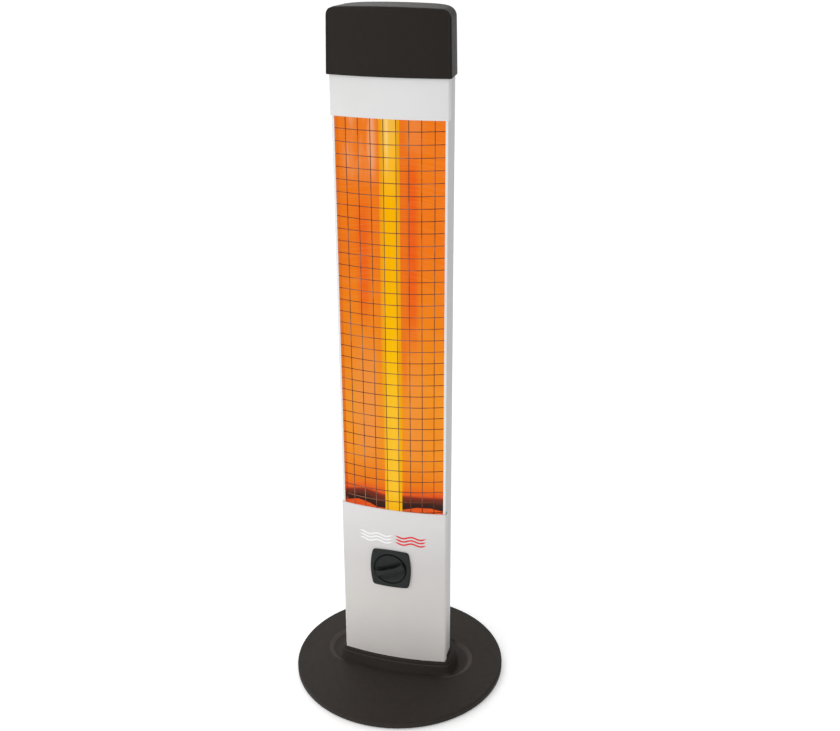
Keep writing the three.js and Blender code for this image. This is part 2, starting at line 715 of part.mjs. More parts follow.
function buildLamp() {
  const limbs = [LAMP_X - TUBE_SPACING, LAMP_X + TUBE_SPACING];
  const web = 1.6; // half width of the web that joins the limbs
  const tube = cut(
    join(
      ...limbs.map((x) => rodZ(TUBE_RADIUS, x, LAMP_Y, LAMP_BOTTOM, LAMP_TOP, 20)),
      block(LAMP_X - web, LAMP_X + web, LAMP_Y - 2.2, LAMP_Y + 2.2, LAMP_BOTTOM, LAMP_TOP),
    ),
    ...limbs.map((x) => rodZ(TUBE_BORE, x, LAMP_Y, LAMP_BOTTOM - 1, LAMP_TOP + 1, 16)),
  );
  add("lamp_tube", tube, quartz());
  limbs.forEach((x, i) => {
    const coil = rodZ(1.8, x, LAMP_Y, LAMP_BOTTOM + 0.2, LAMP_TOP - 0.2, 8);
    add(`lamp_filament_${i + 1}`, coil, finish(0xffa018, 0.6, 0.4));
  });

  const pocketRadius = TUBE_RADIUS + 0.4;
  const pocketShape = stadium(TUBE_SPACING + pocketRadius, pocketRadius, 0, 0);
  const pocket = prism(pocketShape, CERAMIC_HEIGHT - 8.5, CERAMIC_HEIGHT + 1, 8);
  const ceramicCap = cut(
    solid(
      stack(
        stadium(15.5, 8, 0, 0),
        [
          { z: 0, inset: 1 },
          { z: 1, inset: 0 },
          { z: CERAMIC_HEIGHT, inset: 0 },
        ],
        6,
      ),
    ),
    pocket,
  );
  const highest = LAMP_BOTTOM + LAMP_TOP - CERAMIC_LOW;
  add("lamp_end_lower", ceramicCap, ceramic(), [LAMP_X, LAMP_Y, CERAMIC_LOW]);
  add("lamp_end_upper", ceramicCap.rotate([180, 0, 0]), ceramic(), [LAMP_X, LAMP_Y, highest]);

  // Each bracket is an L: a shelf against the ceramic end and a leg on the column's back.
  const steel = 1.2;
  const lampBracket = (screwX, screwZ, shelfLow, legLow, legHigh) =>
    cut(
      join(
        block(-18, 18, LAMP_Y - 9, BRACKET_BACK, shelfLow, shelfLow + steel),
        block(-18, 18, BRACKET_BACK - steel, BRACKET_BACK, legLow, legHigh),
      ),
      rodZ(4.5, LAMP_X, LAMP_Y, shelfLow - 1, shelfLow + steel + 1, 12),
      rodY(SCREW_HOLE, screwX, screwZ, 20, 40, 12),
    );
  const lowShelf = CERAMIC_LOW - GAP - steel;
  const highShelf = highest + GAP;
  const { lower, upper } = lampScrewPlaces;
  add(
    "lamp_bracket_lower",
    lampBracket(...lower, lowShelf, 199, lowShelf + steel),
    zincSteel(),
  );
  add(
    "lamp_bracket_upper",
    lampBracket(...upper, highShelf, 803, highShelf + steel),
    zincSteel(),
  );
  add("bracket_screw_lower", panScrew(BACK_Y + GAP, 6), screwSteel(), [lower[0], 0, lower[1]]);
  add(
    "bracket_screw_upper",
    panScrew(BACK_Y + GAP, 6, 3),
    screwSteel(),
    [upper[0], 0, upper[1]],
  );
}

// ---------------------------------------------------------------- control
const SHAFT_RADIUS = 3;
const SHAFT_BACK = -18.3;
const SHAFT_FRONT = -35.2;
const KNOB_BACK = FRONT_APEX - 0.7;
const DISC_FRONT = KNOB_BACK - 2.7;
const GRIP_FRONT = -37.8;

function bezelOutline() {
  const side = 25.6; // where each side meets a corner
  const level = 27.3;
  const cornerX = 21;
  const cornerZ = 22.5;
  const shape = new THREE.Shape();
  shape.moveTo(-cornerX, -level);
  shape.quadraticCurveTo(0, -level - 2.3, cornerX, -level);
  shape.quadraticCurveTo(side - 0.2, -level + 0.3, side, -cornerZ);
  shape.quadraticCurveTo(side + 5, 0, side, cornerZ);
  shape.quadraticCurveTo(side - 0.2, level - 0.3, cornerX, level);
  shape.quadraticCurveTo(0, level + 2.3, -cornerX, level);
  shape.quadraticCurveTo(-side + 0.2, level - 0.3, -side, cornerZ);
  shape.quadraticCurveTo(-side - 5, 0, -side, -cornerZ);
  shape.quadraticCurveTo(-side + 0.2, -level + 0.3, -cornerX, -level);
  return shape;
}

function buildControl() {
  const depth = FRONT_APEX - BEZEL_FRONT;
  const bezelBlank = solid(
    stack(
      bezelOutline(),
      [
        { z: -6, inset: 0 },
        { z: depth - 1.4, inset: 0 },
        { z: depth - 0.4, inset: 0.7 },
        { z: depth, inset: 2 },
      ],
      6,
    )
      .rotateX(Math.PI / 2)
      .translate(KNOB_X, FRONT_APEX, KNOB_Z),
  );
  const panelBody = rodZ(PANEL_RADIUS + GAP, 0, BOW_Y, 100, 250, 720);
  const bezel = cut(bezelBlank, panelBody, rodY(KNOB_RADIUS + KNOB_CLEARANCE, KNOB_X, KNOB_Z, -40, -20, 36));
  add("knob_bezel", bezel, knobPlastic());

  const gripEnd = [19.8, 4.7];
  const gripWaist = 0.5;
  const grip = new THREE.Shape();
  grip.moveTo(-gripEnd[0], -gripEnd[1]);
  grip.quadraticCurveTo(0, -gripWaist, gripEnd[0], -gripEnd[1]);
  grip.lineTo(gripEnd[0], gripEnd[1]);
  grip.quadraticCurveTo(0, gripWaist, -gripEnd[0], gripEnd[1]);
  const knob = cut(
    join(
      rodY(KNOB_RADIUS, 0, 0, DISC_FRONT, KNOB_BACK, 36),
      frontPrism(grip, DISC_FRONT + 1, GRIP_FRONT, 10).rotate([
        0,
        THREE.MathUtils.radToDeg(-KNOB_TURN),
        0,
      ]),
    ),
    rodY(SHAFT_RADIUS + GAP, 0, 0, SHAFT_FRONT - GAP, KNOB_BACK + 1, 16),
  );
  add("control_knob", knob, knobPlastic(), [KNOB_X, 0, KNOB_Z]);

  const shaft = cut(
    rodY(SHAFT_RADIUS, 0, 0, SHAFT_FRONT, SHAFT_BACK, 16),
    block(-5, 5, SHAFT_FRONT - 1, -27, 1.8, 5),
  );
  add("switch_shaft", shaft, screwSteel(), [KNOB_X, 0, KNOB_Z]);

  const tabs = [-10, 10].flatMap((x) =>
    [-12, 12].map((z) => block(x - 3, x + 3, -6, 0, z - 0.5, z + 0.5)),
  );
  const body = cut(
    join(block(-22, 22, -24, -5, -20, 20), block(-19, 19, -27.7, -23, -12, 12), ...tabs),
    rodY(SHAFT_RADIUS + GAP, 0, 0, -30, SHAFT_BACK + GAP, 16),
    rodY(1.9, -SWITCH_SCREW_X, 0, -30, -20, 10),
    rodY(1.9, SWITCH_SCREW_X, 0, -30, -20, 10),
  );
  add("power_regulator", body, finish(0xd8d2c4, 0.6, 0), [KNOB_X, 0, KNOB_Z]);

  const fixing = turned(
    [
      [0, 0],
      [2.8, 0],
      [2.8, 0.5],
      [1.5, 1.9],
      [1.5, 8],
      [0, 8],
    ],
    10,
  ).rotate([-90, 0, 0]);
  [-SWITCH_SCREW_X, SWITCH_SCREW_X].forEach((x, i) => {
    add(
      `switch_screw_${i + 1}`,
      fixing,
      screwSteel(),
      [KNOB_X + x, FRONT_APEX + 0.7, KNOB_Z],
    );
  });
}

// ---------------------------------------------------------------- wiring
const TERMINAL_X = -20;
const TERMINAL_Z = 100;
const LEAD_RADIUS = 1.5;

// An insulated lead along a smooth curve through the given points.
function lead(points, steps) {
  const extrudePath = new THREE.CatmullRomCurve3(points.map((p) => new THREE.Vector3(...p)));
  const options = { steps, extrudePath, bevelEnabled: false };
  return solid(new THREE.ExtrudeGeometry(hexagon(LEAD_RADIUS), options));
}

function buildWiring() {
  const front = BRACKET_BACK - 14;
  const slots = [-10, 10].flatMap((x) =>
    [-8, 8].map((z) => rodZ(2.2, x, (front + BRACKET_BACK) / 2, z < 0 ? -9 : 5, z < 0 ? -5 : 9, 10)),
  );
  const terminal = cut(
    block(-20, 20, front, BRACKET_BACK, -8, 8),
    ...slots,
    rodY(SCREW_HOLE, 0, 0, front + 6, BRACKET_BACK + 1, 10),
  );
  add("terminal_block", terminal, finish(0xe6e2d6, 0.5, 0), [TERMINAL_X, 0, TERMINAL_Z]);
  add("terminal_screw", panScrew(BACK_Y + GAP, 8), screwSteel(), [TERMINAL_X, 0, TERMINAL_Z]);

  const cutout = join(
    rodZ(8, 0, 0, 0, 8.5, 18),
    block(-12, 12, -4, 4, 8, 9.3),
    block(-5, -4, -3, 3, -6, 1),
    block(4, 5, -3, 3, -6, 1),
  );
  const cutoutPlace = [42, -2, END_PLATE_LOW - GAP - 9.3];
  add("thermal_cutout", cutout, finish(0xb8a888, 0.5, 0.2), cutoutPlace);

  const slotY = (front + BRACKET_BACK) / 2;
  const topEnd = TERMINAL_Z + 5.4;
  const lowEnd = TERMINAL_Z - 5.4;
  const tabY = 2.2;
  const leads = {
    lamp_lead_upper: [
      [LAMP_X, LAMP_Y, 819.7],
      [LAMP_X, LAMP_Y + 1, 830],
      [-12, 6, 841],
      [-27, 16, 836],
      [-31, 20, 815],
      [-31, 21, 600],
      [-31, 21, 400],
      [-31, 21, 240],
      [-31, slotY, 140],
      [-30, slotY, 118],
      [-30, slotY, topEnd],
    ],
    lamp_lead_lower: [
      [LAMP_X, LAMP_Y, 220.1],
      [LAMP_X, LAMP_Y + 2, 211],
      [-8, 6, 200],
      [-12.5, 9, 190],
      [-12.5, tabY, 186],
    ],
    cutout_lead: [
      [46.5, -2, 223],
      [45, 2, 212],
      [28, 9, 200],
      [11, 9, 190],
      [7.5, tabY, 186],
    ],
    supply_lead: [
      [-10, slotY, topEnd],
      [-10, slotY, 122],
      [-2, 15, 142],
      [7.5, 9, 156],
      [7.5, tabY, 162],
    ],
    tip_switch_lead: [
      [PLUNGER_X, PLUNGER_Y, 38.6],
      [PLUNGER_X, PLUNGER_Y, 46],
      [-31, 14, 70],
      [-30, slotY, 84],
      [-30, slotY, lowEnd],
    ],
    earth_lead: [
      [-10, slotY, lowEnd],
      [-10, slotY, 84],
      [4, 13, 64],
      [17, 14, 52],
      [20, 22.5, 50],
    ],
  };
  const colours = [0xe8e4da, 0xe8e4da, 0xb8432c, 0x6b4a2f, 0x3f5f94, 0x8fa63c];
  Object.entries(leads).forEach(([name, points], i) => {
    add(name, lead(points, points.length > 6 ? 40 : 14), wireSleeve(colours[i]));
  });
}

// ---------------------------------------------------------------- cord gland
function buildGland() {
  const bore = 4.2;
  const upright = (made, y) => made.rotate([-90, 0, 0]).translate([0, y, 0]);
  const gland = turned(
    [
      [bore, 0],
      [6, 0],
      [6, 8.4],
      [9.5, 8.4],
      [9.5, 13],
      [8.6, 14],
      [7.6, 19],
      [6.6, 20],
      [bore, 20],
      [bore, 0],
    ],
    24,
  );
  const wallInner = BACK_Y - COLUMN_WALL;
  add("cord_gland", upright(gland, BACK_Y + GAP - 8.4), knobPlastic(), [GLAND_X, 0, GLAND_Z]);
  const nut = cut(prism(hexagon(9.2), 0, 4), rodZ(6 + GAP, 0, 0, -1, 5, 24));
  add("gland_nut", upright(nut, wallInner - GAP - 4), knobPlastic(), [GLAND_X, 0, GLAND_Z]);
}

// ---------------------------------------------------------------- tip-over switch
function buildTipSwitch() {
  const low = BRACKET_LOW + 2 + GAP;
  const boreTop = 30;
  const body = cut(block(-9, 9, -9, 9, low, 38), rodZ(6, 0, 0, low - 1, boreTop, 20));
  const place = [PLUNGER_X, PLUNGER_Y, 0];
  add("tip_switch_body", body, finish(0x2a2a2c, 0.5, 0), place);

  const flangeLow = 14;
  const plunger = turned(
    [
      [0, 0],
      [2.6, 0],
      [3.4, 0.8],
      [3.4, flangeLow],
      [5.4, flangeLow],
      [5.4, flangeLow + 2],
      [2, flangeLow + 2],
      [2, flangeLow + 8],
      [0, flangeLow + 8],
    ],
    20,
  );
  add("tip_plunger", plunger, finish(0xd9d9d4, 0.4, 0), place);

  const wire = 0.5;
  const coilRadius = 3.9;
  const from = flangeLow + 2 + GAP + wire;
  const to = boreTop - GAP - wire;
  const turns = 5;
  class Helix extends THREE.Curve {
    getPoint(t, target = new THREE.Vector3()) {
      const a = 2 * Math.PI * turns * t;
      return target.set(coilRadius * Math.cos(a), coilRadius * Math.sin(a), from + (to - from) * t);
    }
  }
  const spring = new THREE.ExtrudeGeometry(hexagon(wire), {
    steps: 9 * turns,
    extrudePath: new Helix(),
    bevelEnabled: false,
  });
  add("tip_spring", solid(spring), screwSteel(), place);
}

buildBase();
buildColumn();
buildPanels();
buildCap();
buildReflector();
buildGuard();
buildLamp();
buildControl();
buildWiring();
buildGland();
buildTipSwitch();

export default heater;
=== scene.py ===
import json
import math

import bpy
import numpy as np
from mathutils import Euler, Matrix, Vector


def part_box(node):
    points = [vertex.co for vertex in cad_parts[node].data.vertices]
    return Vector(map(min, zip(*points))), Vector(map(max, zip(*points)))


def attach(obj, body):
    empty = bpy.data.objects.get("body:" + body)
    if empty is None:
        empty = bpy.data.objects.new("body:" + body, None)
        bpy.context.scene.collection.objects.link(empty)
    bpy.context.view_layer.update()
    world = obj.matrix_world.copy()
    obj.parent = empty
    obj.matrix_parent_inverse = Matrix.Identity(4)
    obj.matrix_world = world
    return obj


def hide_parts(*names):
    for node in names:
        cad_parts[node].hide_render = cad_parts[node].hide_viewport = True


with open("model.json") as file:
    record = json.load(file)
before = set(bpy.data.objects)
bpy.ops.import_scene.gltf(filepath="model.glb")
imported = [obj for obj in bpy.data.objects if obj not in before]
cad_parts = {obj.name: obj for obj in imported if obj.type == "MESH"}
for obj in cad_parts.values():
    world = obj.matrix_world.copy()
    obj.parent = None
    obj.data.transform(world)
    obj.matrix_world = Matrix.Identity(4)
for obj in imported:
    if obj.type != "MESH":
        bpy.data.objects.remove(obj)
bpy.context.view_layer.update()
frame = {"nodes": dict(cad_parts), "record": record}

NODES = frame["nodes"]
MM = 0.001
scene = bpy.context.scene

# ---------------------------------------------------------------- sizes, in millimetres
BOW_RADIUS = 358.6  # of the front panels, seen from above
BOW_Y = -30.2 + BOW_RADIUS
COLUMN_HALF = 70.5
PANEL_HALF = 72.3
DISC_RADIUS = 145.0
RECESS_X, RECESS_Y = -2.0, 9.0
RECESS_STRAIGHT = 58.0  # half the length of its straight edges
RECESS_RADIUS = 47.0
RECESS_FLOOR = 8.0
CAP_HIGH = 902.0
WINDOW_LOW, WINDOW_HIGH, WINDOW_HALF = 262.9, 777.5, 68.0
GUARD_HALF = 68.2
GUARD_LEFT_Y, GUARD_MIDDLE_Y, GUARD_RIGHT_Y = -18.6, -25.7, -10.5
LAMP_SHIFT = -0.7
KNOB_RIM = 20.9
KNOB_TURN = math.radians(22)

# ---------------------------------------------------------------- tones, in linear light
BLACK_TONE = (0.0152, 0.0116, 0.0090)
# the base's black plastic, painted lighter than the cap's to stand in for the light on its top
BASE_TONE = (0.0355, 0.0297, 0.0260)
KNOB_TONE = (0.0175, 0.0208, 0.0198)


def box_mm(node):
    low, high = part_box(node)
    return np.array(low) / MM, np.array(high) / MM


def middle(node):
    low, high = box_mm(node)
    return (low + high) / 2


def bow(x, radius):
    return BOW_Y - np.sqrt(radius**2 - np.asarray(x, float) ** 2)


# ---------------------------------------------------------------- materials
class Surface:
    """A material, with short calls that add shader nodes to it."""

    def __init__(self, name):
        self.mat = bpy.data.materials.new(name)
        self.mat.use_nodes = True
        self.tree = self.mat.node_tree
        self.shader = next(n for n in self.tree.nodes if n.type == "BSDF_PRINCIPLED")
        self.place = self.tree.nodes.new("ShaderNodeTexCoord").outputs["Object"]

    def link(self, value, socket):
        if isinstance(value, bpy.types.NodeSocket):
            self.tree.links.new(value, socket)
        else:
            socket.default_value = value

    def set(self, **values):
        for key, value in values.items():
            self.link(value, self.shader.inputs[key.replace("_", " ")])
        return self

    def stretch(self, x, y, z):
        node = self.tree.nodes.new("ShaderNodeMapping")
        self.link(self.place, node.inputs["Vector"])
        node.inputs["Scale"].default_value = (x, y, z)
        return node.outputs["Vector"]

    def noise(self, scale, detail=3.0, vector=None, rough=0.5, distortion=0.0):
        node = self.tree.nodes.new("ShaderNodeTexNoise")
        self.link(self.place if vector is None else vector, node.inputs["Vector"])
        node.inputs["Scale"].default_value = scale
        node.inputs["Detail"].default_value = detail
        node.inputs["Roughness"].default_value = rough
        node.inputs["Distortion"].default_value = distortion
        return node.outputs["Fac"]

    def cells(self, scale, feature="F1"):
        node = self.tree.nodes.new("ShaderNodeTexVoronoi")
        node.feature = feature
        self.link(self.place, node.inputs["Vector"])
        node.inputs["Scale"].default_value = scale
        return node.outputs["Distance"]

    def math(self, operation, a, b=0.0):
        node = self.tree.nodes.new("ShaderNodeMath")
        node.operation = operation
        self.link(a, node.inputs[0])
        self.link(b, node.inputs[1])
        return node.outputs[0]

    def times(self, product, *others):
        for other in others:
            product = self.math("MULTIPLY", product, other)
        return product

    def less(self, a, b):
        return self.math("SUBTRACT", a, b)

    def span(self, value, low, high, to_low=0.0, to_high=1.0, smooth=True):
        node = self.tree.nodes.new("ShaderNodeMapRange")
        node.interpolation_type = "SMOOTHSTEP" if smooth else "LINEAR"
        self.link(value, node.inputs["Value"])
        node.inputs["From Min"].default_value = low
        node.inputs["From Max"].default_value = high
        node.inputs["To Min"].default_value = to_low
        node.inputs["To Max"].default_value = to_high
        return node.outputs["Result"]

    def ramp(self, factor, *stops):
        node = self.tree.nodes.new("ShaderNodeValToRGB")
        self.link(factor, node.inputs["Fac"])
        elements = node.color_ramp.elements
        while len(elements) < len(stops):
            elements.new(1.0)
        for element, (position, colour) in zip(elements, stops):
            element.position = position
            element.color = (*colour, 1.0)
        return node.outputs["Color"]

    def mix(self, factor, a, b):
        node = self.tree.nodes.new("ShaderNodeMix")
        node.data_type = "RGBA"
        self.link(factor, node.inputs[0])
        for value, socket in ((a, node.inputs[6]), (b, node.inputs[7])):
            if isinstance(value, tuple) and len(value) == 3:
                value = (*value, 1.0)
            self.link(value, socket)
        return node.outputs[2]

    def axes(self):
        node = self.tree.nodes.new("ShaderNodeSeparateXYZ")
        self.link(self.place, node.inputs[0])
        return node.outputs

    def base_colour(self):
        """The socket that feeds the base colour so far."""
        return self.shader.inputs["Base Color"].links[0].from_socket

    def facing_front(self):
        """One on faces that look forwards, nought on those that look back."""
        normal = self.tree.nodes.new("ShaderNodeTexCoord").outputs["Normal"]
        node = self.tree.nodes.new("ShaderNodeSeparateXYZ")
        self.link(normal, node.inputs[0])
        return self.span(node.outputs["Y"], 0.1, -0.1)

    def bump(self, height, strength, distance, normal=None):
        node = self.tree.nodes.new("ShaderNodeBump")
        node.inputs["Strength"].default_value = strength
        node.inputs["Distance"].default_value = distance
        self.link(height, node.inputs["Height"])
        if normal is not None:
            self.link(normal, node.inputs["Normal"])
        return node.outputs["Normal"]


def srgb(r, g, b):
    """A colour given as 0 to 255 display values."""
    return tuple(
        c / 12.92 if c <= 0.04045 else ((c + 0.055) / 1.055) ** 2.4
        for c in (r / 255, g / 255, b / 255)
    )


def scaled(colour, factor):
    return tuple(c * factor for c in colour)


def plastic(name, colour, rough, grain=2200.0, specular=0.35):
    s = Surface(name)
    cloud = s.noise(140.0, 4.0)
    tint = s.mix(s.span(cloud, 0.3, 0.7), scaled(colour, 0.95), scaled(colour, 1.05))
    fine = s.noise(grain, 3.0, rough=0.6)
    pits = s.cells(grain * 0.55)
    scuffs = s.noise(1.0, 5.0, s.stretch(55.0, 160.0, 420.0), rough=0.7)
    roughness = s.math(
        "ADD",
        s.span(s.noise(150.0, 5.0), 0.25, 0.75, rough - 0.03, rough + 0.03),
        s.span(scuffs, 0.62, 0.75, 0.0, 0.04),
    )
    normal = s.bump(pits, 0.3, 0.00006, s.bump(fine, 0.35, 0.00004))
    s.set(Base_Color=tint, Roughness=roughness, Normal=normal)
    s.set(IOR=1.48, Specular_IOR_Level=specular)
    return s


def base_plastic():
    """The cover's plastic, with caught light painted on the recess's bevel and round the plinth."""
    s = plastic("base_plastic", BASE_TONE, 0.6, specular=0.09)
    x, y, z = s.axes()
    sideways = s.math("ABSOLUTE", s.less(x, RECESS_X * MM))
    end = s.math("MAXIMUM", s.less(sideways, RECESS_STRAIGHT * MM), 0.0)
    aside = s.less(y, RECESS_Y * MM)
    radius = s.math("SQRT", s.math("ADD", s.times(end, end), s.times(aside, aside)))
    bevel = s.times(
        s.span(radius, 0.0385, 0.0415),
        s.span(radius, 0.0472, 0.0455),
        s.span(end, 0.006, 0.020),
        s.span(z, 0.014, 0.0132),
    )
    line = s.times(s.span(z, 0.0228, 0.0234), s.span(z, 0.0248, 0.0242))
    caught = s.times(s.math("MAXIMUM", bevel, line), 0.85)
    s.set(Base_Color=s.mix(caught, s.base_colour(), scaled(BASE_TONE, 2.3)))
    return s


def cap_plastic():
    """The cap's plastic, with caught light painted towards the back of its two flanks."""
    s = plastic("cap_plastic", BLACK_TONE, 0.56, specular=0.17)
    x, y, _ = s.axes()
    flank = s.span(s.math("ABSOLUTE", x), 0.0712, 0.0728)
    caught = s.times(flank, s.span(y, -0.016, 0.012))
    s.set(Base_Color=s.mix(caught, s.base_colour(), scaled(BLACK_TONE, 3.4)))
    return s


def knob_crease():
    """The knob's plastic, with shade painted in the crease along the upper edge of its grip."""
    s = plastic("knob_crease", KNOB_TONE, 0.5, 3000.0, 0.2)
    x, _, z = s.axes()
    centre = middle("control_knob") * MM
    right = s.less(x, float(centre[0]))
    up = s.less(z, float(centre[2]))
    cos, sin = math.cos(KNOB_TURN), math.sin(KNOB_TURN)
    along = s.math("ADD", s.times(right, cos), s.times(up, sin))
    across = s.less(s.times(up, cos), s.times(right, sin))
    grip_edge = s.math("ADD", s.times(along, along, 6.5), 0.0012)
    above = s.less(across, grip_edge)
    crease = s.times(
        s.span(above, -0.0003, 0.0005),
        s.span(above, 0.0056, 0.0012),
        s.span(s.math("ABSOLUTE", along), 0.0205, 0.014),
        0.9,
    )
    s.set(Base_Color=s.mix(crease, s.base_colour(), scaled(KNOB_TONE, 0.12)))
    return s


def painted_silver():
    s = Surface("silver_paint")
    z = s.axes()["Z"]
    flakes = s.cells(2600.0)
    # painted light and shade over the height: lighter at the foot, darkest near 0.18 m, lighter again
    # above
    tone = s.ramp(
        z,
        (0.03, srgb(238, 233, 228)),
        (0.07, srgb(222, 218, 214)),
        (0.12, srgb(215, 211, 207)),
        (0.18, srgb(210, 207, 206)),
        (0.25, srgb(224, 223, 223)),
        (0.78, srgb(222, 222, 222)),
        (0.85, srgb(222, 222, 222)),
    )
    cloud = s.noise(9.0, 3.0, distortion=0.4)
    tone = s.mix(s.span(cloud, 0.3, 0.75, 0.0, 0.3), tone, srgb(210, 207, 205))
    sparkle = s.mix(s.span(flakes, 0.02, 0.22, 0.14, 0.0), tone, (0.92, 0.92, 0.93))
    scuff = s.span(s.noise(1.0, 4.0, s.stretch(40.0, 40.0, 160.0), rough=0.7), 0.62, 0.8)
    foot = s.times(s.span(z, 0.03, 0.16, 1.0, 0.0), scuff, 0.3)
    worn = s.mix(foot, sparkle, srgb(178, 173, 167))
    streak = s.noise(1.0, 4.0, s.stretch(260.0, 260.0, 6.0), rough=0.6)
    s.set(Base_Color=worn, Metallic=0.06, Specular_IOR_Level=0.3)
    s.set(Roughness=s.span(streak, 0.3, 0.7, 0.46, 0.56))
    orange_peel = s.bump(s.noise(330.0, 2.0), 0.12, 0.00008)
    s.set(Normal=s.bump(s.noise(3000.0, 2.0), 0.1, 0.00002, orange_peel))
    return s


def anodised():
    """Drawn aluminium; painted shade on its flanks, the lamp's orange light painted on its inner walls
    by the window.
    """
    s = Surface("anodised_aluminium")
    x, y, z = s.axes()
    lines = s.noise(1.0, 5.0, s.stretch(2600.0, 2600.0, 9.0), rough=0.65)
    broad = s.noise(1.0, 3.0, s.stretch(70.0, 70.0, 3.0))
    tone = s.mix(s.span(broad, 0.3, 0.7), srgb(226, 226, 227), srgb(234, 234, 235))
    tone = s.mix(s.span(lines, 0.35, 0.7, 0.0, 0.25), tone, srgb(205, 205, 207))
    # painted shade: the column's flanks are darker
    flank = s.times(s.span(y, -0.0212, -0.0195), s.span(y, 0.02, 0.01), 0.75)
    tone = s.mix(flank, tone, srgb(196, 194, 195))
    # the lamp's orange light painted on the inner walls beside the window as a glow, with a dark band
    # of painted shade low down
    wall = s.times(
        s.span(s.math("ABSOLUTE", x), 0.0694, 0.0691),
        s.span(y, -0.0205, -0.0198),
        s.span(y, -0.006, -0.008),
        s.span(z, 0.24, 0.27),
        s.span(z, 0.80, 0.77),
    )
    lit = s.ramp(
        s.span(z, 0.25, 0.35, smooth=False),
        (0.10, srgb(226, 82, 36)),
        (0.14, srgb(66, 42, 36)),
        (0.24, srgb(78, 44, 37)),
        (0.32, srgb(226, 82, 34)),
        (0.70, srgb(238, 122, 36)),
    )
    s.set(Base_Color=s.mix(wall, tone, (0.06, 0.02, 0.006)))
    s.set(Emission_Color=lit, Emission_Strength=s.times(wall, 0.78))
    s.set(Metallic=0.12, Roughness=s.span(lines, 0.3, 0.7, 0.42, 0.56), Specular_IOR_Level=0.25)
    s.set(Normal=s.bump(lines, 0.16, 0.00003))
    return s


def zinc(name, tone, rough):
    s = Surface(name)
    spangle = s.cells(190.0, "SMOOTH_F1")
    blotch = s.noise(60.0, 4.0)
    base = s.mix(s.span(spangle, 0.1, 0.7), scaled(tone, 0.86), scaled(tone, 1.12))
    base = s.mix(s.span(blotch, 0.55, 0.75, 0.0, 0.35), base, scaled(tone, 0.7))
    s.set(Base_Color=base, Metallic=0.9)
    s.set(Roughness=s.span(blotch, 0.3, 0.7, rough - 0.08, rough + 0.1))
    s.set(Normal=s.bump(s.noise(1400.0, 3.0), 0.2, 0.00003))
    return s


def rubber(name, tone):
    s = Surface(name)
    dust = s.noise(45.0, 5.0)
    base = s.mix(s.span(dust, 0.5, 0.8, 0.0, 0.4), tone, srgb(74, 71, 67))
    s.set(Base_Color=base, Roughness=s.span(dust, 0.3, 0.7, 0.72, 0.9))
    s.set(Normal=s.bump(s.noise(1600.0, 3.0), 0.35, 0.00006))
    return s


def guard_wire():
    s = Surface("guard_wire")
    heat = s.noise(34.0, 4.0)
    base = s.ramp(
        s.span(heat, 0.25, 0.75),
        (0.0, srgb(98, 58, 42)),
        (0.55, srgb(126, 76, 54)),
        (1.0, srgb(164, 122, 102)),
    )
    s.set(Base_Color=base, Metallic=0.65)
    s.set(Roughness=s.span(heat, 0.3, 0.7, 0.34, 0.5))
    s.set(Normal=s.bump(s.noise(2400.0, 3.0), 0.3, 0.00003))
    return s


def glowing(s, colour, strength, reflect=0.3):
    s.set(Base_Color=s.mix(1.0 - reflect, colour, (0.0, 0.0, 0.0)))
    s.set(Emission_Color=colour, Emission_Strength=strength)
    return s


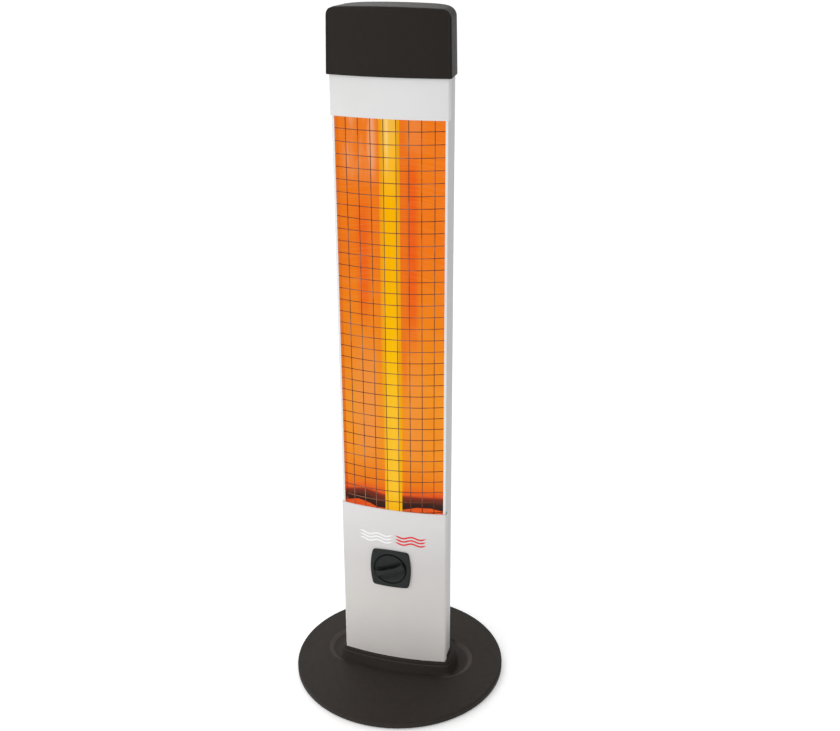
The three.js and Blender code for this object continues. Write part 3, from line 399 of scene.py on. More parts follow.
def reflector_glow():
    """Rolled mirror sheet with the lamp's orange glow and the soft bands of its folds painted on as
    reflection.
    """
    s = Surface("reflector_sheet")
    x, y, z = s.axes()
    # the pattern lies on an upright plane and is cast from it onto the sheet along the main
    # camera's lines of sight: the two slants and the level are that camera's place, rounded.
    # They are fixed numbers, so no node reads the camera and the pattern stays put in other views
    plane_y, sideways, downwards, level = -0.028, 0.3, 0.765, 1.024
    depth = s.less(y, plane_y)
    u = s.math("ADD", x, s.times(depth, sideways))
    v = s.math("ADD", z, s.times(depth, s.times(s.less(level, z), downwards)))
    height = s.span(v, WINDOW_LOW * MM, WINDOW_HIGH * MM, smooth=False)
    across = s.span(u, -WINDOW_HALF * MM, WINDOW_HALF * MM, smooth=False)

    def band(left, rise_end, fall_start, right, low, full_low, full_high, high):
        """One inside a soft-edged upright band, nought outside it; sizes in metres."""
        wide = s.times(s.span(u, left, rise_end), s.span(u, right, fall_start))
        return s.times(wide, s.span(v, low, full_low), s.span(v, high, full_high))

    def blend(tone, amount, share, colour):
        return s.mix(s.times(amount, share), tone, colour)

    def contour(*stops):
        """A height in metres that varies across the sheet; stops are (share of width, mm)."""
        lowest, reach = 260, 40
        grey = [(at, ((mm - lowest) / reach,) * 3) for at, mm in stops]
        return s.math("ADD", s.times(s.ramp(across, *grey), reach * MM), lowest * MM)

    tone = s.ramp(
        height,
        (0.0, srgb(230, 86, 34)),
        (0.05, srgb(236, 102, 26)),
        (0.085, srgb(241, 126, 22)),
        (0.16, srgb(246, 147, 30)),
        (0.3, srgb(246, 150, 34)),
        (0.46, srgb(243, 136, 18)),
        (0.7, srgb(242, 119, 14)),
        (0.92, srgb(243, 122, 16)),
        (1.0, srgb(242, 121, 22)),
    )
    # painted reflections of the glow in the sheet's folds, as peach, deep red and orange bands
    peach = srgb(240, 146, 80)
    tone = blend(tone, band(-0.058, -0.036, -0.026, -0.014, 0.31, 0.37, 0.43, 0.54), 0.5, peach)
    tone = blend(tone, band(0.016, 0.026, 0.034, 0.052, 0.31, 0.37, 0.43, 0.56), 0.3, peach)
    deep = srgb(238, 80, 20)
    tone = blend(tone, band(0.017, 0.027, 0.031, 0.041, 0.46, 0.56, 0.70, 0.76), 0.75, deep)
    tone = blend(tone, band(-0.046, -0.036, -0.032, -0.022, 0.50, 0.57, 0.64, 0.70), 0.6, deep)
    ember = srgb(236, 112, 28)
    tone = blend(tone, band(0.008, 0.012, 0.018, 0.026, 0.40, 0.50, 0.75, 0.80), 0.7, ember)
    # a pale sheen at the top
    streaks = s.noise(1.0, 3.0, s.stretch(90.0, 20.0, 13.0), distortion=0.5)
    patch = s.span(streaks, 0.36, 0.66)
    sheen = srgb(245, 180, 132)
    top_left = s.times(band(-0.062, -0.046, -0.022, -0.012, 0.69, 0.735, 0.80, 0.82), patch)
    tone = blend(tone, top_left, 0.8, sheen)
    tone = blend(tone, band(0.018, 0.032, 0.033, 0.05, 0.72, 0.77, 0.80, 0.82), 0.16, sheen)
    # painted yellow reflections of the lamp beside it, on its left above and on its right below
    left_yellow, right_yellow = srgb(242, 168, 14), srgb(246, 163, 12)
    tone = blend(tone, band(-0.0128, -0.0116, -0.006, -0.004, 0.3, 0.5, 0.81, 0.82), 0.85, left_yellow)
    tone = blend(tone, band(0.006, 0.008, 0.0125, 0.018, 0.262, 0.28, 0.43, 0.56), 0.75, right_yellow)
    # the dark ripple low in the sheet, taken to be a mirror image of the lamp's unlit end
    top = contour((0.0, 287), (0.22, 291), (0.4, 285), (0.58, 286), (0.8, 287.5), (1.0, 290))
    foot_left = ((0.0, 269), (0.15, 273), (0.26, 269), (0.34, 264))
    foot_right = ((0.58, 264), (0.75, 270.5), (0.9, 272), (1.0, 270))
    foot = contour(*foot_left, *foot_right)
    above_foot = s.less(v, foot)
    below_top = s.less(top, v)
    share = s.math("DIVIDE", above_foot, s.less(top, foot))
    glow = s.span(below_top, -0.012, -0.001)
    tone = blend(tone, glow, 0.8, srgb(229, 82, 33))
    shade = s.ramp(
        share,
        (0.0, srgb(52, 36, 33)),
        (0.42, srgb(64, 41, 36)),
        (0.62, srgb(104, 50, 40)),
        (0.85, srgb(122, 52, 40)),
        (1.0, srgb(170, 62, 38)),
    )
    inside = s.times(s.span(above_foot, 0.0, 0.0012), s.span(below_top, -0.0025, 0.0015))
    # rolling lines across the sheet, in its bump and as paler streaks of painted reflection
    lines = s.noise(1.0, 3.0, s.stretch(5.0, 5.0, 760.0), rough=0.55)
    tone = s.mix(s.span(lines, 0.42, 0.68, 0.0, 0.2), tone, srgb(247, 164, 88))
    waver = s.noise(1.0, 3.0, s.stretch(22.0, 22.0, 7.0), distortion=0.3)
    tone = s.mix(s.span(waver, 0.5, 0.75, 0.0, 0.2), tone, srgb(233, 108, 26))
    tone = s.mix(inside, tone, shade)
    # only the side towards the room glows; the other is bare sheet
    front = s.facing_front()
    glowing(s, tone, s.times(front, 0.87), reflect=0.1)
    s.set(Base_Color=s.mix(front, srgb(150, 150, 148), s.base_colour()))
    s.set(Metallic=0.1, Roughness=0.5, Specular_IOR_Level=0.1)
    s.set(Normal=s.bump(lines, 0.2, 0.00008))
    return s


def lamp_glow():
    s = Surface("quartz")
    x, _, z = s.axes()
    offset = s.less(x, float(middle("lamp_tube")[0]) * MM)
    side = s.math("ABSOLUTE", offset)
    rise = s.span(z, 0.25, 0.78, smooth=False)
    core = s.ramp(
        rise,
        (0.0, srgb(246, 178, 10)),
        (0.06, srgb(251, 196, 48)),
        (0.28, srgb(251, 194, 44)),
        (0.42, srgb(250, 191, 8)),
        (0.6, srgb(249, 181, 0)),
        (0.8, srgb(249, 180, 0)),
        (0.93, srgb(249, 188, 50)),
        (1.0, srgb(243, 186, 74)),
    )
    # painted shade: the tube's sides are a darker amber than its middle
    rim = s.mix(s.span(rise, 0.1, 0.4), srgb(240, 180, 24), srgb(238, 164, 14))
    tone = s.mix(s.span(side, 0.0082, 0.0094), core, rim)
    glint = s.times(
        s.span(offset, -0.0062, -0.004),
        s.span(offset, -0.0008, -0.003),
        s.span(z, 0.69, 0.76),
        0.7,
    )
    tone = s.mix(glint, tone, srgb(250, 216, 140))
    streak = s.noise(1.0, 4.0, s.stretch(900.0, 900.0, 14.0), rough=0.6)
    tone = s.mix(s.span(streak, 0.5, 0.75, 0.0, 0.14), tone, srgb(255, 204, 34))
    ripple = s.noise(1.0, 3.0, s.stretch(8.0, 8.0, 420.0), rough=0.5)
    tone = s.mix(s.span(ripple, 0.5, 0.7, 0.0, 0.12), tone, srgb(244, 170, 6))
    glowing(s, tone, 0.95, reflect=0.04)
    s.set(Roughness=s.span(streak, 0.3, 0.7, 0.2, 0.34), Specular_IOR_Level=0.04)
    s.set(Normal=s.bump(s.noise(160.0, 3.0), 0.08, 0.0002), IOR=1.46)
    return s


def hot_filament():
    s = Surface("filament")
    beat = s.noise(420.0, 2.0)
    tone = s.mix(s.span(beat, 0.3, 0.7), srgb(255, 168, 20), srgb(255, 208, 70))
    return glowing(s, tone, 1.2, reflect=0.3)


def ceramic():
    s = Surface("lamp_ceramic")
    speck = s.noise(700.0, 4.0)
    base = s.mix(s.span(speck, 0.35, 0.7), srgb(228, 222, 208), srgb(240, 236, 226))
    s.set(Base_Color=base, Roughness=0.75)
    s.set(Normal=s.bump(speck, 0.25, 0.00005))
    return s


def sleeve(name, tone):
    s = Surface(name)
    weave = s.noise(1.0, 4.0, s.stretch(1500.0, 1500.0, 700.0))
    base = s.mix(s.span(weave, 0.3, 0.7), scaled(tone, 0.85), scaled(tone, 1.1))
    s.set(Base_Color=base, Roughness=s.span(weave, 0.3, 0.7, 0.45, 0.6))
    s.set(Normal=s.bump(weave, 0.2, 0.00004))
    return s


def ink(name, tone):
    s = Surface(name)
    wear = s.noise(900.0, 4.0)
    base = s.mix(s.span(wear, 0.35, 0.65), scaled(tone, 0.93), tone)
    s.set(Base_Color=base, Roughness=s.span(wear, 0.3, 0.7, 0.32, 0.42))
    s.set(Normal=s.bump(s.noise(2600.0, 2.0), 0.08, 0.00001))
    return s


MAT = {
    "black_plastic": plastic("black_plastic", BLACK_TONE, 0.56, specular=0.17),
    "base_plastic": base_plastic(),
    "cap_plastic": cap_plastic(),
    "knob_plastic": plastic("knob_plastic", KNOB_TONE, 0.5, 3000.0, 0.2),
    "knob_crease": knob_crease(),
    "silver_paint": painted_silver(),
    "anodised_aluminium": anodised(),
    "zinc_steel": zinc("zinc_steel", srgb(176, 176, 172), 0.42),
    "screw_steel": zinc("screw_steel", srgb(160, 160, 158), 0.34),
    "reflector_sheet": reflector_glow(),
    "guard_wire": guard_wire(),
    "quartz": lamp_glow(),
    "filament": hot_filament(),
    "lamp_ceramic": ceramic(),
    "foot_rubber": rubber("foot_rubber", srgb(30, 30, 30)),
    "moulded_cream": plastic("moulded_cream", srgb(226, 221, 206), 0.5),
    "bakelite": plastic("bakelite", srgb(148, 122, 88), 0.45),
    "plunger_plastic": plastic("plunger_plastic", srgb(214, 213, 206), 0.35),
    "lead_cream": sleeve("lead_cream", srgb(230, 225, 212)),
    "lead_red": sleeve("lead_red", srgb(176, 60, 40)),
    "lead_brown": sleeve("lead_brown", srgb(104, 70, 46)),
    "lead_blue": sleeve("lead_blue", srgb(60, 92, 146)),
    "lead_green": sleeve("lead_green", srgb(140, 160, 56)),
    "mark_white": ink("mark_white", srgb(250, 250, 250)),
    "mark_red": ink("mark_red", srgb(226, 30, 38)),
}

slots = {e["node"]: e["material_slot"] for e in frame["record"]["subparts"]}
for name, node in NODES.items():
    mesh = node.data
    mesh.materials.clear()
    mesh.materials.append(MAT[slots[name]].mat)
    mesh.polygons.foreach_set("use_smooth", [True] * len(mesh.polygons))
    mesh.set_sharp_from_angle(angle=math.radians(28))


# ---------------------------------------------------------------- pieces
def piece(name, verts, faces, material, body="heater", sharp=34, stands_for=()):
    """A mesh from points in millimetres, shaded smooth with its real edges kept, riding on a body."""
    mesh = bpy.data.meshes.new(name)
    mesh.from_pydata((np.asarray(verts, float) * MM).tolist(), [], faces)
    mesh.validate()
    mesh.materials.append(MAT[material].mat)
    mesh.polygons.foreach_set("use_smooth", [True] * len(mesh.polygons))
    mesh.set_sharp_from_angle(angle=math.radians(sharp))
    made = bpy.data.objects.new(name, mesh)
    scene.collection.objects.link(made)
    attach(made, body)
    if stands_for:
        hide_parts(*stands_for)
    return made


def loft(rings, closed=True, cap_first=False, cap_last=False):
    """Faces over rings of points that all have the same count."""
    rings = [np.asarray(r, float) for r in rings]
    count = len(rings[0])
    verts = np.concatenate(rings)
    faces = []
    for r in range(len(rings) - 1):
        for i in range(count if closed else count - 1):
            j = (i + 1) % count
            a, b = r * count, (r + 1) * count
            faces.append((a + i, a + j, b + j, b + i))
    if cap_first:
        faces.append(tuple(range(count))[::-1])
    if cap_last:
        last = (len(rings) - 1) * count
        faces.append(tuple(range(last, last + count)))
    return verts, faces


def merged(*parts):
    verts, faces, base = [], [], 0
    for v, f in parts:
        verts.append(np.asarray(v, float))
        faces += [tuple(i + base for i in face) for face in f]
        base += len(v)
    return np.concatenate(verts), faces


def tube(path, radius, sides=8):
    """A round wire along a path of points."""
    path = np.asarray(path, float)
    along = np.gradient(path, axis=0)
    along /= np.linalg.norm(along, axis=1)[:, None]
    lead = np.array([0.0, 0.0, 1.0]) if abs(along[0][2]) < 0.9 else np.array([1.0, 0.0, 0.0])
    rings = []
    for point, direction in zip(path, along):
        side = np.cross(direction, lead)
        side /= np.linalg.norm(side)
        lead = np.cross(side, direction)
        turn = np.linspace(0, 2 * math.pi, sides, endpoint=False)
        rings.append(point + radius * (np.outer(np.cos(turn), side) + np.outer(np.sin(turn), lead)))
    return loft(rings, cap_first=True, cap_last=True)


def turned(profile, centre, axis, sides=48):
    """A surface of revolution: profile of (radius, distance along the axis)."""
    axis = np.asarray(axis, float)
    side = np.cross(axis, [0.3, 0.5, 0.8])
    side /= np.linalg.norm(side)
    other = np.cross(axis, side)
    turn = np.linspace(0, 2 * math.pi, sides, endpoint=False)
    rim = np.outer(np.cos(turn), side) + np.outer(np.sin(turn), other)
    rings = [np.asarray(centre) + r * rim + d * axis for r, d in profile]
    return loft(rings)


# ---------------------------------------------------------------- outlines seen from above
def polyline_ring(points, count):
    """count points spaced evenly along a closed polyline."""
    closed = np.vstack([points, points[:1]])
    run = np.concatenate([[0], np.cumsum(np.linalg.norm(np.diff(closed, axis=0), axis=1))])
    at = np.linspace(0, run[-1], count, endpoint=False)
    return np.stack([np.interp(at, run, closed[:, k]) for k in range(2)], axis=1)


def column_ring(grow, corner=3.0, count=420, taper=0.0):
    """The column's outline with its front corners softened; a taper narrows it towards the back."""
    half = COLUMN_HALF + grow
    radius = BOW_RADIUS - 1.8 + grow
    x = np.linspace(-half + corner, half - corner, 90)
    front = np.stack([x, bow(x, radius)], axis=1)
    y_corner = bow(half - corner, radius) + corner * 0.82
    turn = np.linspace(-math.pi / 2 + 0.2, 0, 10)
    fillet = np.stack(
        [half - corner + corner * np.cos(turn), y_corner + corner * np.sin(turn)], axis=1
    )
    a = np.linspace(0, math.pi / 2, 26)
    reach = 24 + grow - taper
    rear = np.stack([COLUMN_HALF - 24 + reach * np.cos(a), 8 + (22 + grow) * np.sin(a)], axis=1)
    right = np.vstack([fillet, rear])
    left = right[::-1] * [-1, 1]
    return polyline_ring(np.vstack([front, right, left]), count)


def ray_radius(points, centre, angles):
    """Distance from a centre to a closed outline, along each angle."""
    rel = points - centre
    a = np.arctan2(rel[:, 1], rel[:, 0])
    r = np.linalg.norm(rel, axis=1)
    order = np.argsort(a)
    a, r = a[order], r[order]
    a = np.concatenate([a - 2 * math.pi, a, a + 2 * math.pi])
    return np.interp(angles, a, np.concatenate([r, r, r]))


def bezier(p0, p1, p2, count):
    t = np.linspace(0, 1, count)[:, None]
    return (1 - t) ** 2 * np.array(p0) + 2 * t * (1 - t) * np.array(p1) + t**2 * np.array(p2)


# ---------------------------------------------------------------- base cover
def build_base():
    centre = np.array([0.0, 6.0])
    count = 720
    angles = np.linspace(-math.pi, math.pi, count, endpoint=False)
    ray = np.stack([np.cos(angles), np.sin(angles)], axis=1)

    half, radius = 74.5, 360.8
    side_bulge, back_half, back_y = [88, 4], 66, 33.0
    x = np.linspace(-half, half, 160)
    front = np.stack([x, bow(x, radius)], axis=1)
    corner = [half, float(bow(half, radius))]
    right = bezier(corner, side_bulge, [back_half, back_y], 80)
    back = np.stack([np.linspace(back_half, -back_half, 60), np.full(60, back_y)], axis=1)
    plinth = np.vstack([front, right, back, right[::-1] * [-1, 1]])
    plinth_r = ray_radius(plinth, centre, angles)
    # a moving average along the outline rounds its corners
    kernel = np.hanning(25)
    kernel /= kernel.sum()
    wrap = np.concatenate([plinth_r[-12:], plinth_r, plinth_r[:12]])
    plinth_soft = np.convolve(wrap, kernel, mode="valid")

    t = np.linspace(-math.pi / 2, math.pi / 2, 120)
    end = np.stack([RECESS_STRAIGHT + RECESS_RADIUS * np.cos(t), RECESS_RADIUS * np.sin(t)], axis=1)
    edge_x = np.linspace(RECESS_STRAIGHT, -RECESS_STRAIGHT, 120)
    edge = np.stack([edge_x, np.full(120, RECESS_RADIUS)], axis=1)
    recess = np.vstack([end, edge, end[::-1] * [-1, 1], edge * [-1, -1]]) + [RECESS_X, RECESS_Y]
    recess_r = ray_radius(recess, centre, angles)
    disc = np.stack([DISC_RADIUS * np.cos(angles), DISC_RADIUS * np.sin(angles)], axis=1)
    disc_r = ray_radius(disc, centre, angles)

    edge_height, edge_radius = 9.9, 2.4

    def ring(r, z):
        flat = centre + ray * np.asarray(r)[:, None] if np.ndim(r) else centre + ray * r
        return np.column_stack([flat, np.broadcast_to(z, count)])

    def crown(r):
        """Height of the disc's top, which falls gently towards its edge."""
        out = np.linalg.norm(centre + ray * r[:, None], axis=1)
        return edge_height + 3.1 * np.clip(1 - (out / 143) ** 2, 0, 1)

    opening = ray_radius(column_ring(-1.4), centre, angles)
    rings = [
        ring(opening, 5.4),
        ring(opening, 28.4),
        ring(opening + 0.5, 29.3),
        ring(plinth_soft - 1.6, 29.5),
        ring(plinth_soft - 0.7, 29.2),
        ring(plinth_soft - 0.15, 28.4),
        ring(plinth_soft, 27.2),
        ring(plinth_soft + 0.4, 21.6),
        ring(plinth_soft + 0.9, 20.2),
        ring(plinth_soft + 1.9, 17.0),
        ring(plinth_soft + 3.0, 13.0),
        ring(plinth_soft + 4.4, 9.6),
        ring(plinth_soft + 5.6, 8.35),
        ring(plinth_soft + 7.0, RECESS_FLOOR),
    ]
    floor_edge = np.maximum(recess_r - 9.0, plinth_soft + 7.6)
    wall_edge = np.maximum(recess_r, floor_edge + 3.5)
    bevel_rise = crown(wall_edge) - RECESS_FLOOR
    for share, rise in ((0.0, 0.0), (0.08, 0.03), (0.3, 0.22), (0.7, 0.78), (0.92, 0.97), (1.0, 1.0)):
        r = floor_edge + (wall_edge - floor_edge) * share
        rings.append(ring(r, RECESS_FLOOR + bevel_rise * rise))
    for share in (0.04, 0.3, 0.6, 0.9, 0.97):
        r = wall_edge + (disc_r - edge_radius - wall_edge) * share
        rings.append(ring(r, crown(r)))
    for turn in np.linspace(90, 0, 7):
        a = math.radians(turn)
        r = disc_r - edge_radius + edge_radius * math.cos(a)
        rings.append(ring(r, edge_height - edge_radius + edge_radius * math.sin(a)))
    rings += [
        ring(disc_r, 2.4),
        ring(disc_r - 0.3, 1.5),
        ring(disc_r - 1.0, 1.2),
        ring(disc_r - 3.6, 1.2),
        ring(disc_r - 3.9, 1.6),
        ring(disc_r - 3.9, 5.4),
    ]
    return piece("base_shell", *loft(rings), "base_plastic", stands_for=["base_cover"], sharp=60)


# ---------------------------------------------------------------- top cap
def build_cap():
    draft, top_drop = 1.4, 2.2
    front_round, side_round = 4.6, 11.0
    base = column_ring(4.8, corner=3.2, taper=2.4)
    count = len(base)
    centre_y = (base[:, 1].min() + base[:, 1].max()) / 2
    half = np.array([base[:, 0].max(), (base[:, 1].max() - base[:, 1].min()) / 2])
    step = np.roll(base, -1, axis=0) - np.roll(base, 1, axis=0)
    normal = np.stack([step[:, 1], -step[:, 0]], axis=1)
    normal /= np.linalg.norm(normal, axis=1)[:, None]
    sideways = np.abs(normal[:, 0]) ** 2

    def inset(across, deep):
        """The base outline, drawn in by so much at each side and at front and back."""
        middle_point = np.array([0.0, centre_y])
        return middle_point + (base - middle_point) * (1 - np.array([across, deep]) / half)

    def crown(flat):
        return CAP_HIGH - top_drop * (flat[:, 0] / 75.0) ** 2

    # (height, inset) up the inside, then round the lower edge
    lip = [(836.0, 2.6), (826.2, 2.0), (825.3, 1.7), (825.0, 1.3), (825.0, 0.7)]
    lip += [(825.25, 0.25), (825.8, 0.0)]
    rings = [np.column_stack([inset(by, by), np.full(count, z)]) for z, by in lip]
    lip_top = lip[-1][0]
    radius = front_round + (side_round - front_round) * sideways
    wall = crown(inset(draft, draft)) - radius
    for share in (0.04, 0.5, 0.96, 1.0):
        by = draft * share
        z = lip_top + (wall - lip_top) * share
        rings.append(np.column_stack([inset(by, by), z]))
    for angle in np.linspace(8, 90, 12):
        a = math.radians(angle)
        turned_in = 1 - math.cos(a)
        flat = inset(draft + side_round * turned_in, draft + front_round * turned_in)
        z = crown(flat) - radius * (1 - math.sin(a))
        rings.append(np.column_stack([flat, z]))
    for share in (0.9, 0.6, 0.3, 0.05):
        flat = inset(draft + side_round, draft + front_round) * [share, 1]
        flat[:, 1] = centre_y + (flat[:, 1] - centre_y) * share
        rings.append(np.column_stack([flat, crown(flat)]))
    made = loft(rings, cap_last=True)
    return piece("cap_shell", *made, "cap_plastic", stands_for=["top_cap"], sharp=60)


# ---------------------------------------------------------------- front panels
def panel_ring(half, radius, corner, back_y, count):
    """The bowed front with rounded corners and turned-in sides, as an open line from left to right."""
    x = np.linspace(0, half - corner, count)
    face = np.stack([x, bow(x, radius)], axis=1)
    y_corner = float(bow(half - corner, radius)) + corner
    turn = np.linspace(-math.pi / 2 + 0.2, 0, 9)
    fillet = np.stack(
        [half - corner + corner * np.cos(turn), y_corner + corner * np.sin(turn)], axis=1
    )
    right = np.vstack([face, fillet, [[half, back_y]]])
    return np.vstack([right[:0:-1] * [-1, 1], right])


def build_panel(name, node):
    low, high = box_mm(node)
    thickness, edge = 1.5, 0.35
    back_y = high[1]
    outer = panel_ring(PANEL_HALF, BOW_RADIUS, 2.4, back_y, 60)
    inner = panel_ring(PANEL_HALF - thickness, BOW_RADIUS - thickness, 0.9, back_y, 60)
    step = np.gradient(outer, axis=0)
    normal = np.stack([step[:, 1], -step[:, 0]], axis=1)
    normal /= np.linalg.norm(normal, axis=1)[:, None]
    soft = outer - normal * edge
    rings = []
    for flat, z in (
        (inner, high[2]),
        (soft, high[2]),
        (outer - normal * 0.1, high[2] - 0.1),
        (outer, high[2] - edge),
        (outer, low[2] + edge),
        (outer - normal * 0.1, low[2] + 0.1),
        (soft, low[2]),
        (inner, low[2]),
        (inner, high[2]),
    ):
        rings.append(np.column_stack([flat, np.full(len(flat), z)]))
    verts, faces = loft(rings, closed=False)
    n = len(outer)
    faces.append(tuple(k * n for k in range(len(rings) - 1)))
    faces.append(tuple(k * n + n - 1 for k in range(len(rings) - 1))[::-1])
    return piece(name, verts, faces, "silver_paint", stands_for=[node], sharp=50)


# ---------------------------------------------------------------- guard
def guard_bow(half, left, middle_y, right):
    """Depth of the guard's wires at each x: an arc through its two ends and its middle."""
    total = 2 * middle_y**2 - 2 * half**2 - left**2 - right**2
    cy = total / (4 * middle_y - 2 * (left + right))
    cx = (middle_y**2 - half**2 - left**2 - 2 * cy * (middle_y - left)) / (2 * half)
    radius = math.hypot(cx, cy - middle_y)
    return lambda x: cy - np.sqrt(radius**2 - (np.asarray(x, float) - cx) ** 2)


def build_guard():
    rng = np.random.default_rng(4)
    low, high = box_mm("guard_mesh")
    half, wire, overrun = GUARD_HALF, 0.53, 3.0
    rows, uprights, upright_pitch = 35, 8, 15.3
    depth = guard_bow(half, GUARD_LEFT_Y, GUARD_MIDDLE_Y, GUARD_RIGHT_Y)
    pitch = (high[2] - low[2] - 2 * overrun) / (rows - 1)
    parts = []
    x = np.linspace(-half, half, 41)
    for i in range(rows):
        z = low[2] + overrun + i * pitch
        sag = rng.normal(0, 0.15)
        kink = rng.normal(0, 0.12)
        wave = kink * np.sin(x / half * math.pi + rng.uniform(0, 6))
        lift = 0.9 * np.clip(x / half, 0, 1) ** 2
        path = np.stack([x, depth(x), z + sag * (1 - (x / half) ** 2) + wave + lift], axis=1)
        parts.append(tube(path, wire))
    z = np.linspace(low[2], high[2], 60)
    for i in range(uprights):
        at = (i - (uprights - 1) / 2) * upright_pitch
        at += 1.2 * math.cos(math.pi * at / 120)
        sway = 0.2 * np.sin(z / 90 + rng.uniform(0, 6))
        path = np.stack([at + sway, np.full(60, depth(at) - 1.9 * wire), z], axis=1)
        parts.append(tube(path, wire))
    return piece("guard_wires", *merged(*parts), "guard_wire", stands_for=["guard_mesh"])


# ---------------------------------------------------------------- lamp
def build_lamp():
    low, high = box_mm("lamp_tube")
    cx, cy = (low[0] + high[0]) / 2 + LAMP_SHIFT, (low[1] + high[1]) / 2
    bore_centre, tube_radius = 6, 5.5
    a = np.linspace(math.radians(22), math.radians(338), 40)
    right = np.stack([bore_centre - tube_radius * np.cos(a), -tube_radius * np.sin(a)], axis=1)
    left = np.stack([-bore_centre + tube_radius * np.cos(a), tube_radius * np.sin(a)], axis=1)
    outline = np.vstack([right, left])
    body = np.linspace(low[2] + 4, high[2] - 4, 30)
    z = np.concatenate([[low[2], low[2] + 0.3], body, [high[2] - 0.3, high[2]]])
    rings = []
    for k, height in enumerate(z):
        shrink = 0.985 if k in (0, len(z) - 1) else 1.0
        flat = outline * shrink
        rings.append(np.column_stack([flat[:, 0] + cx, flat[:, 1] + cy, np.full(len(flat), height)]))
    made = loft(rings, cap_first=True, cap_last=True)
    return piece("quartz_twin_tube", *made, "quartz", stands_for=["lamp_tube"], sharp=50)


# ---------------------------------------------------------------- knob and surround
def bezel_outline():
    side, level, cx, cz = 25.6, 27.3, 21.0, 22.5
    quarter = [
        bezier([0, -level - 1.15], [cx * 0.5, -level - 1.15], [cx, -level], 20),
        bezier([cx, -level], [side - 0.2, -level + 0.3], [side, -cz], 16),
        bezier([side, -cz], [side + 2.5, -cz * 0.5], [side + 2.5, 0], 24),
    ]
    q = np.vstack(quarter)
    return np.vstack([q, q[::-1] * [1, -1], q * [-1, -1], q[::-1] * [-1, 1]])


def build_bezel():
    centre = middle("control_knob")
    cx, cz = centre[0], centre[2]
    count = 288
    angles = np.linspace(-math.pi, math.pi, count, endpoint=False)
    outer = ray_radius(bezel_outline(), np.zeros(2), angles)
    front, hole = -33.2, 22.9

    def ring(r, y):
        depth = np.broadcast_to(y, count)
        return np.column_stack([cx + r * np.cos(angles), depth, cz + r * np.sin(angles)])

    def panel(r):
        return bow(cx + r * np.cos(angles), BOW_RADIUS) - 0.15

    rings = [
        ring(outer - 0.2, panel(outer)),
        ring(outer, panel(outer) - 0.4),
        ring(outer - 0.1, front + 1.1),
        ring(outer - 0.5, front + 0.5),
        ring(outer - 1.2, front + 0.15),
        ring(outer - 2.4, front),
    ]
    for share in (0.3, 0.7, 1.0):
        rings.append(ring((outer - 2.4) * (1 - share) + (hole + 0.9) * share, front))
    rings += [
        ring(hole + 0.35, front + 0.12),
        ring(hole, front + 0.5),
        ring(hole, -30.75),
        ring(hole - 0.3, -30.55),
        ring(16.0, -30.55),
    ]
    return piece("knob_surround", *loft(rings), "knob_plastic", stands_for=["knob_bezel"], sharp=60)


def build_knob():
    """A disc with a waisted grip: scooped out steeply above the grip, sloping off gently below it."""
    centre = middle("control_knob")
    cx, cz = centre[0], centre[2]
    cos, sin = math.cos(KNOB_TURN), math.sin(KNOB_TURN)
    face, back, rim = -33.5, -30.95, KNOB_RIM
    ring_count, count = 90, 260
    a = np.linspace(0, 2 * math.pi, count, endpoint=False)
    radii = np.concatenate([np.linspace(1.2, rim - 0.9, ring_count), [rim - 0.45, rim - 0.15, rim]])

    def ease(t):
        t = np.clip(t, 0, 1)
        return t * t * (3 - 2 * t)

    rings = []
    for r in radii:
        x, z = r * np.cos(a), r * np.sin(a)
        along = x * cos + z * sin
        across = -x * sin + z * cos
        width = 1.6 + 2.6 * (np.abs(along) / 20.0) ** 2
        top = 4.0 - 0.8 * (along / 21) ** 2
        span = np.sqrt(np.maximum(rim**2 - along**2, 1.0)) - width
        shaft_cover = 1.15 * np.exp(-((along / 4.5) ** 2))
        above = np.maximum(across - width - shaft_cover, 0)
        below = np.maximum(-across - width, 0)
        reach_up = np.clip(above / np.maximum(span, 2.0), 0, 1)
        reach_down = np.clip(below / np.maximum(span, 2.0), 0, 1)
        fade = np.sqrt(np.maximum(1 - (along / (rim + 0.4)) ** 2, 0))
        scoop = -2.1 * fade * (1 - reach_up**1.5)
        upper = top + (scoop - top) * ease(above / 1.3)
        dip = -0.5 * fade * np.sin(math.pi * reach_down)
        lower = top * (1 - ease(reach_down * 1.15)) + dip
        height = np.where(across > 0, upper, lower)
        edge = max(0.0, r - (rim - 0.9)) / 0.9
        height = height - 1.0 * edge**2
        rings.append(np.column_stack([cx + x, face - height, cz + z]))
    for y in (back - 0.65, back):
        rings.append(np.column_stack([cx + rim * np.cos(a), np.full(count, y), cz + rim * np.sin(a)]))
    verts, faces = loft(rings, cap_first=True)
    faces = [f[::-1] for f in faces]
    return piece(
        "knob_turning", verts, faces, "knob_crease", body="knob", stands_for=["control_knob"], sharp=75
    )


# ---------------------------------------------------------------- generic mark above the knob
def ribbon(path, width, material, name):
    """A thin printed stroke that lies on the bowed panel; the path is in (x, z)."""
    path = np.asarray(path, float)
    along = np.gradient(path, axis=0)
    along /= np.linalg.norm(along, axis=1)[:, None]
    across = np.stack([-along[:, 1], along[:, 0]], axis=1)
    taper = np.clip(np.minimum(np.linspace(0, 1, len(path)), np.linspace(1, 0, len(path))) * 9, 0.15, 1)
    rings = []
    for offset in (-0.5, 0.5):
        flat = path + across * (width * offset * taper)[:, None]
        y = bow(flat[:, 0], BOW_RADIUS) - 0.06
        rings.append(np.column_stack([flat[:, 0], y, flat[:, 1]]))
    verts, faces = loft(rings, closed=False)
    faces = [f[::-1] for f in faces]
    return piece(name, verts, faces, material)


def build_mark():
    """Three level heat waves, white on the left and red on the right."""
    wave_length, wave_height, stroke, left_end = 23.5, 1.5, 2.4, -50
    strokes = ((-47, 48, "mark_white"), (3.5, 43, "mark_red"))  # start, length, ink
    t = np.linspace(0, 1, 80)
    count = 0
    for level in (224, 219, 214):
        for start, length, colour in strokes:
            count += 1
            x = start + length * t
            z = level + wave_height * np.sin(2 * math.pi * (x - left_end) / wave_length)
            ribbon(np.stack([x, z], axis=1), stroke, colour, f"heat_mark_{count}")


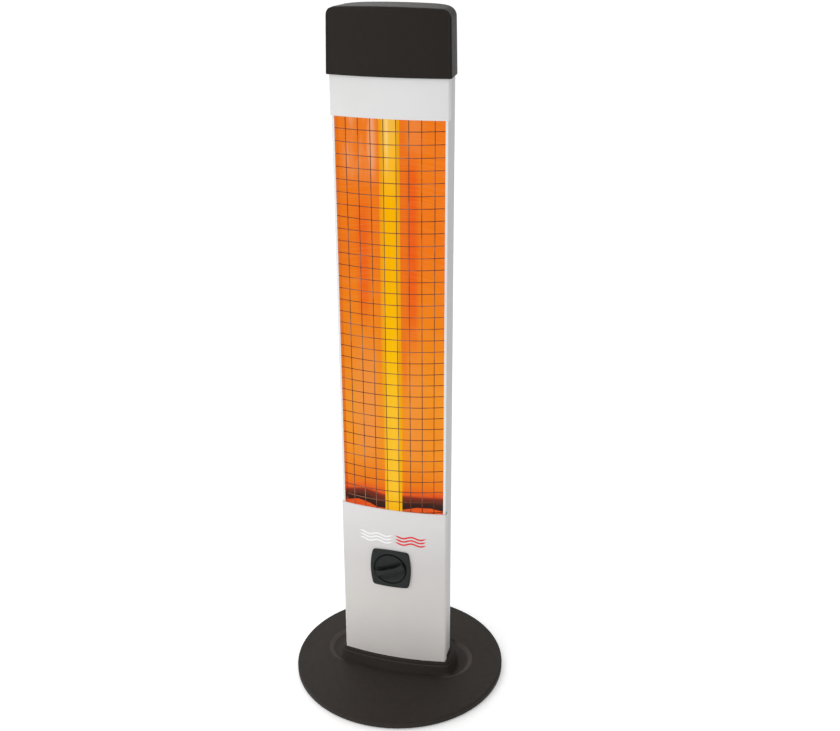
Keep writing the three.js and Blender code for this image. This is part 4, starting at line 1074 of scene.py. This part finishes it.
# ---------------------------------------------------------------- screws
def pan_head(node):
    """A pan-head screw with a cross recess, where the plain one sits."""
    low, high = box_mm(node)
    cx, cz = (low[0] + high[0]) / 2, (low[2] + high[2]) / 2
    radius = (high[2] - low[2]) / 2
    face = high[1]
    count, arms = 96, 4
    a = np.linspace(0, 2 * math.pi, count, endpoint=False)
    cross = np.abs(np.cos(a * arms / 2)) ** 6
    # (radius, depth, share of the radius that follows the cross)
    profile = [
        (0.15, face - 1.5, 0),
        (0.5, face - 1.4, 0),
        (1.0, face - 0.9, 0.48),
        (radius * 0.42, face - 0.02, 0.55),
        (radius * 0.62, face, 0),
        (radius * 0.86, face - 0.45, 0),
        (radius * 0.98, face - 1.1, 0),
        (radius, face - 2.0, 0),
        (radius, face - 2.25, 0),
        (2.0, face - 2.3, 0),
        (2.0, low[1], 0),
    ]
    rings = []
    for r, y, share in profile:
        crossed = r * (1 - share + share * cross)
        x, z = cx + crossed * np.cos(a), cz + crossed * np.sin(a)
        rings.append(np.column_stack([x, np.full(count, y), z]))
    verts, faces = loft(rings, cap_first=True)
    return piece(f"{node}_cross", verts, faces, "screw_steel", stands_for=[node], sharp=40)


build_base()
build_cap()
build_panel("upper_panel_sheet", "upper_front_panel")
build_panel("lower_panel_sheet", "lower_front_panel")
build_guard()
build_lamp()
build_bezel()
build_knob()
build_mark()
for screw in (
    "column_screw_1",
    "column_screw_2",
    "column_screw_3",
    "column_screw_4",
    "cap_screw_left",
    "cap_screw_right",
    "bracket_screw_lower",
    "bracket_screw_upper",
    "terminal_screw",
):
    pan_head(screw)


# ---------------------------------------------------------------- floor, light and camera
def build_floor():
    mesh = bpy.data.meshes.new("studio_floor")
    size, level = 30.0, -0.0005
    corners = [(-size, -size, level), (size, -size, level), (size, size, level), (-size, size, level)]
    mesh.from_pydata(corners, [], [(0, 1, 2, 3)])
    s = Surface("studio_floor")
    fine = s.noise(40.0, 4.0)
    s.set(Base_Color=s.mix(s.span(fine, 0.3, 0.7), (0.95, 0.95, 0.95), (0.97, 0.97, 0.97)))
    s.set(Roughness=0.9, Specular_IOR_Level=0.1)
    s.set(Emission_Color=(1, 1, 1, 1), Emission_Strength=0.28)
    mesh.materials.append(s.mat)
    floor = bpy.data.objects.new("studio_floor", mesh)
    scene.collection.objects.link(floor)


def area(name, place, aim, size, power):
    light = bpy.data.lights.new(name, "AREA")
    light.shape = "RECTANGLE"
    light.size, light.size_y = size
    light.energy = power
    made = bpy.data.objects.new(name, light)
    made.location = place
    made.rotation_euler = (Vector(aim) - Vector(place)).to_track_quat("-Z", "Y").to_euler()
    scene.collection.objects.link(made)


def build_light():
    """Even white light that falls off to the right, so that the heater's side stands out."""
    world = bpy.data.worlds.new("studio")
    world.use_nodes = True
    tree = world.node_tree
    back = next(n for n in tree.nodes if n.type == "BACKGROUND")
    direction = tree.nodes.new("ShaderNodeTexCoord").outputs["Generated"]
    parts = tree.nodes.new("ShaderNodeSeparateXYZ")
    tree.links.new(direction, parts.inputs[0])
    fall = tree.nodes.new("ShaderNodeMapRange")
    fall.interpolation_type = "SMOOTHSTEP"
    tree.links.new(parts.outputs["X"], fall.inputs["Value"])
    fall.inputs["From Min"].default_value = -0.1
    fall.inputs["From Max"].default_value = 0.95
    fall.inputs["To Min"].default_value = 1.0
    fall.inputs["To Max"].default_value = 0.12
    back.inputs["Color"].default_value = (1, 1, 1, 1)
    tree.links.new(fall.outputs["Result"], back.inputs["Strength"])
    scene.world = world
    area("key", (-1.6, -2.4, 2.6), (0, 0, 0.45), (1.6, 1.6), 14)
    area("rear", (-1.4, 2.4, 2.0), (0, 0, 0.5), (1.6, 1.6), 8)


def build_camera():
    data = bpy.data.cameras.new("camera")
    data.sensor_width = 36.0
    data.lens = 49.49
    camera = bpy.data.objects.new("camera", data)
    place = Vector((0.39279, -1.30873, 1.02392))
    target = Vector((0.030508, 0.0, 0.461926))
    facing = (target - place).to_track_quat("-Z", "Y")
    roll = Euler((0, 0, math.radians(-0.107))).to_quaternion()
    camera.rotation_mode = "QUATERNION"
    camera.rotation_quaternion = facing @ roll
    camera.location = place
    data.clip_start, data.clip_end = 0.05, 100.0
    scene.collection.objects.link(camera)
    scene.camera = camera


build_floor()
build_light()
build_camera()
scene.view_settings.view_transform = "Standard"
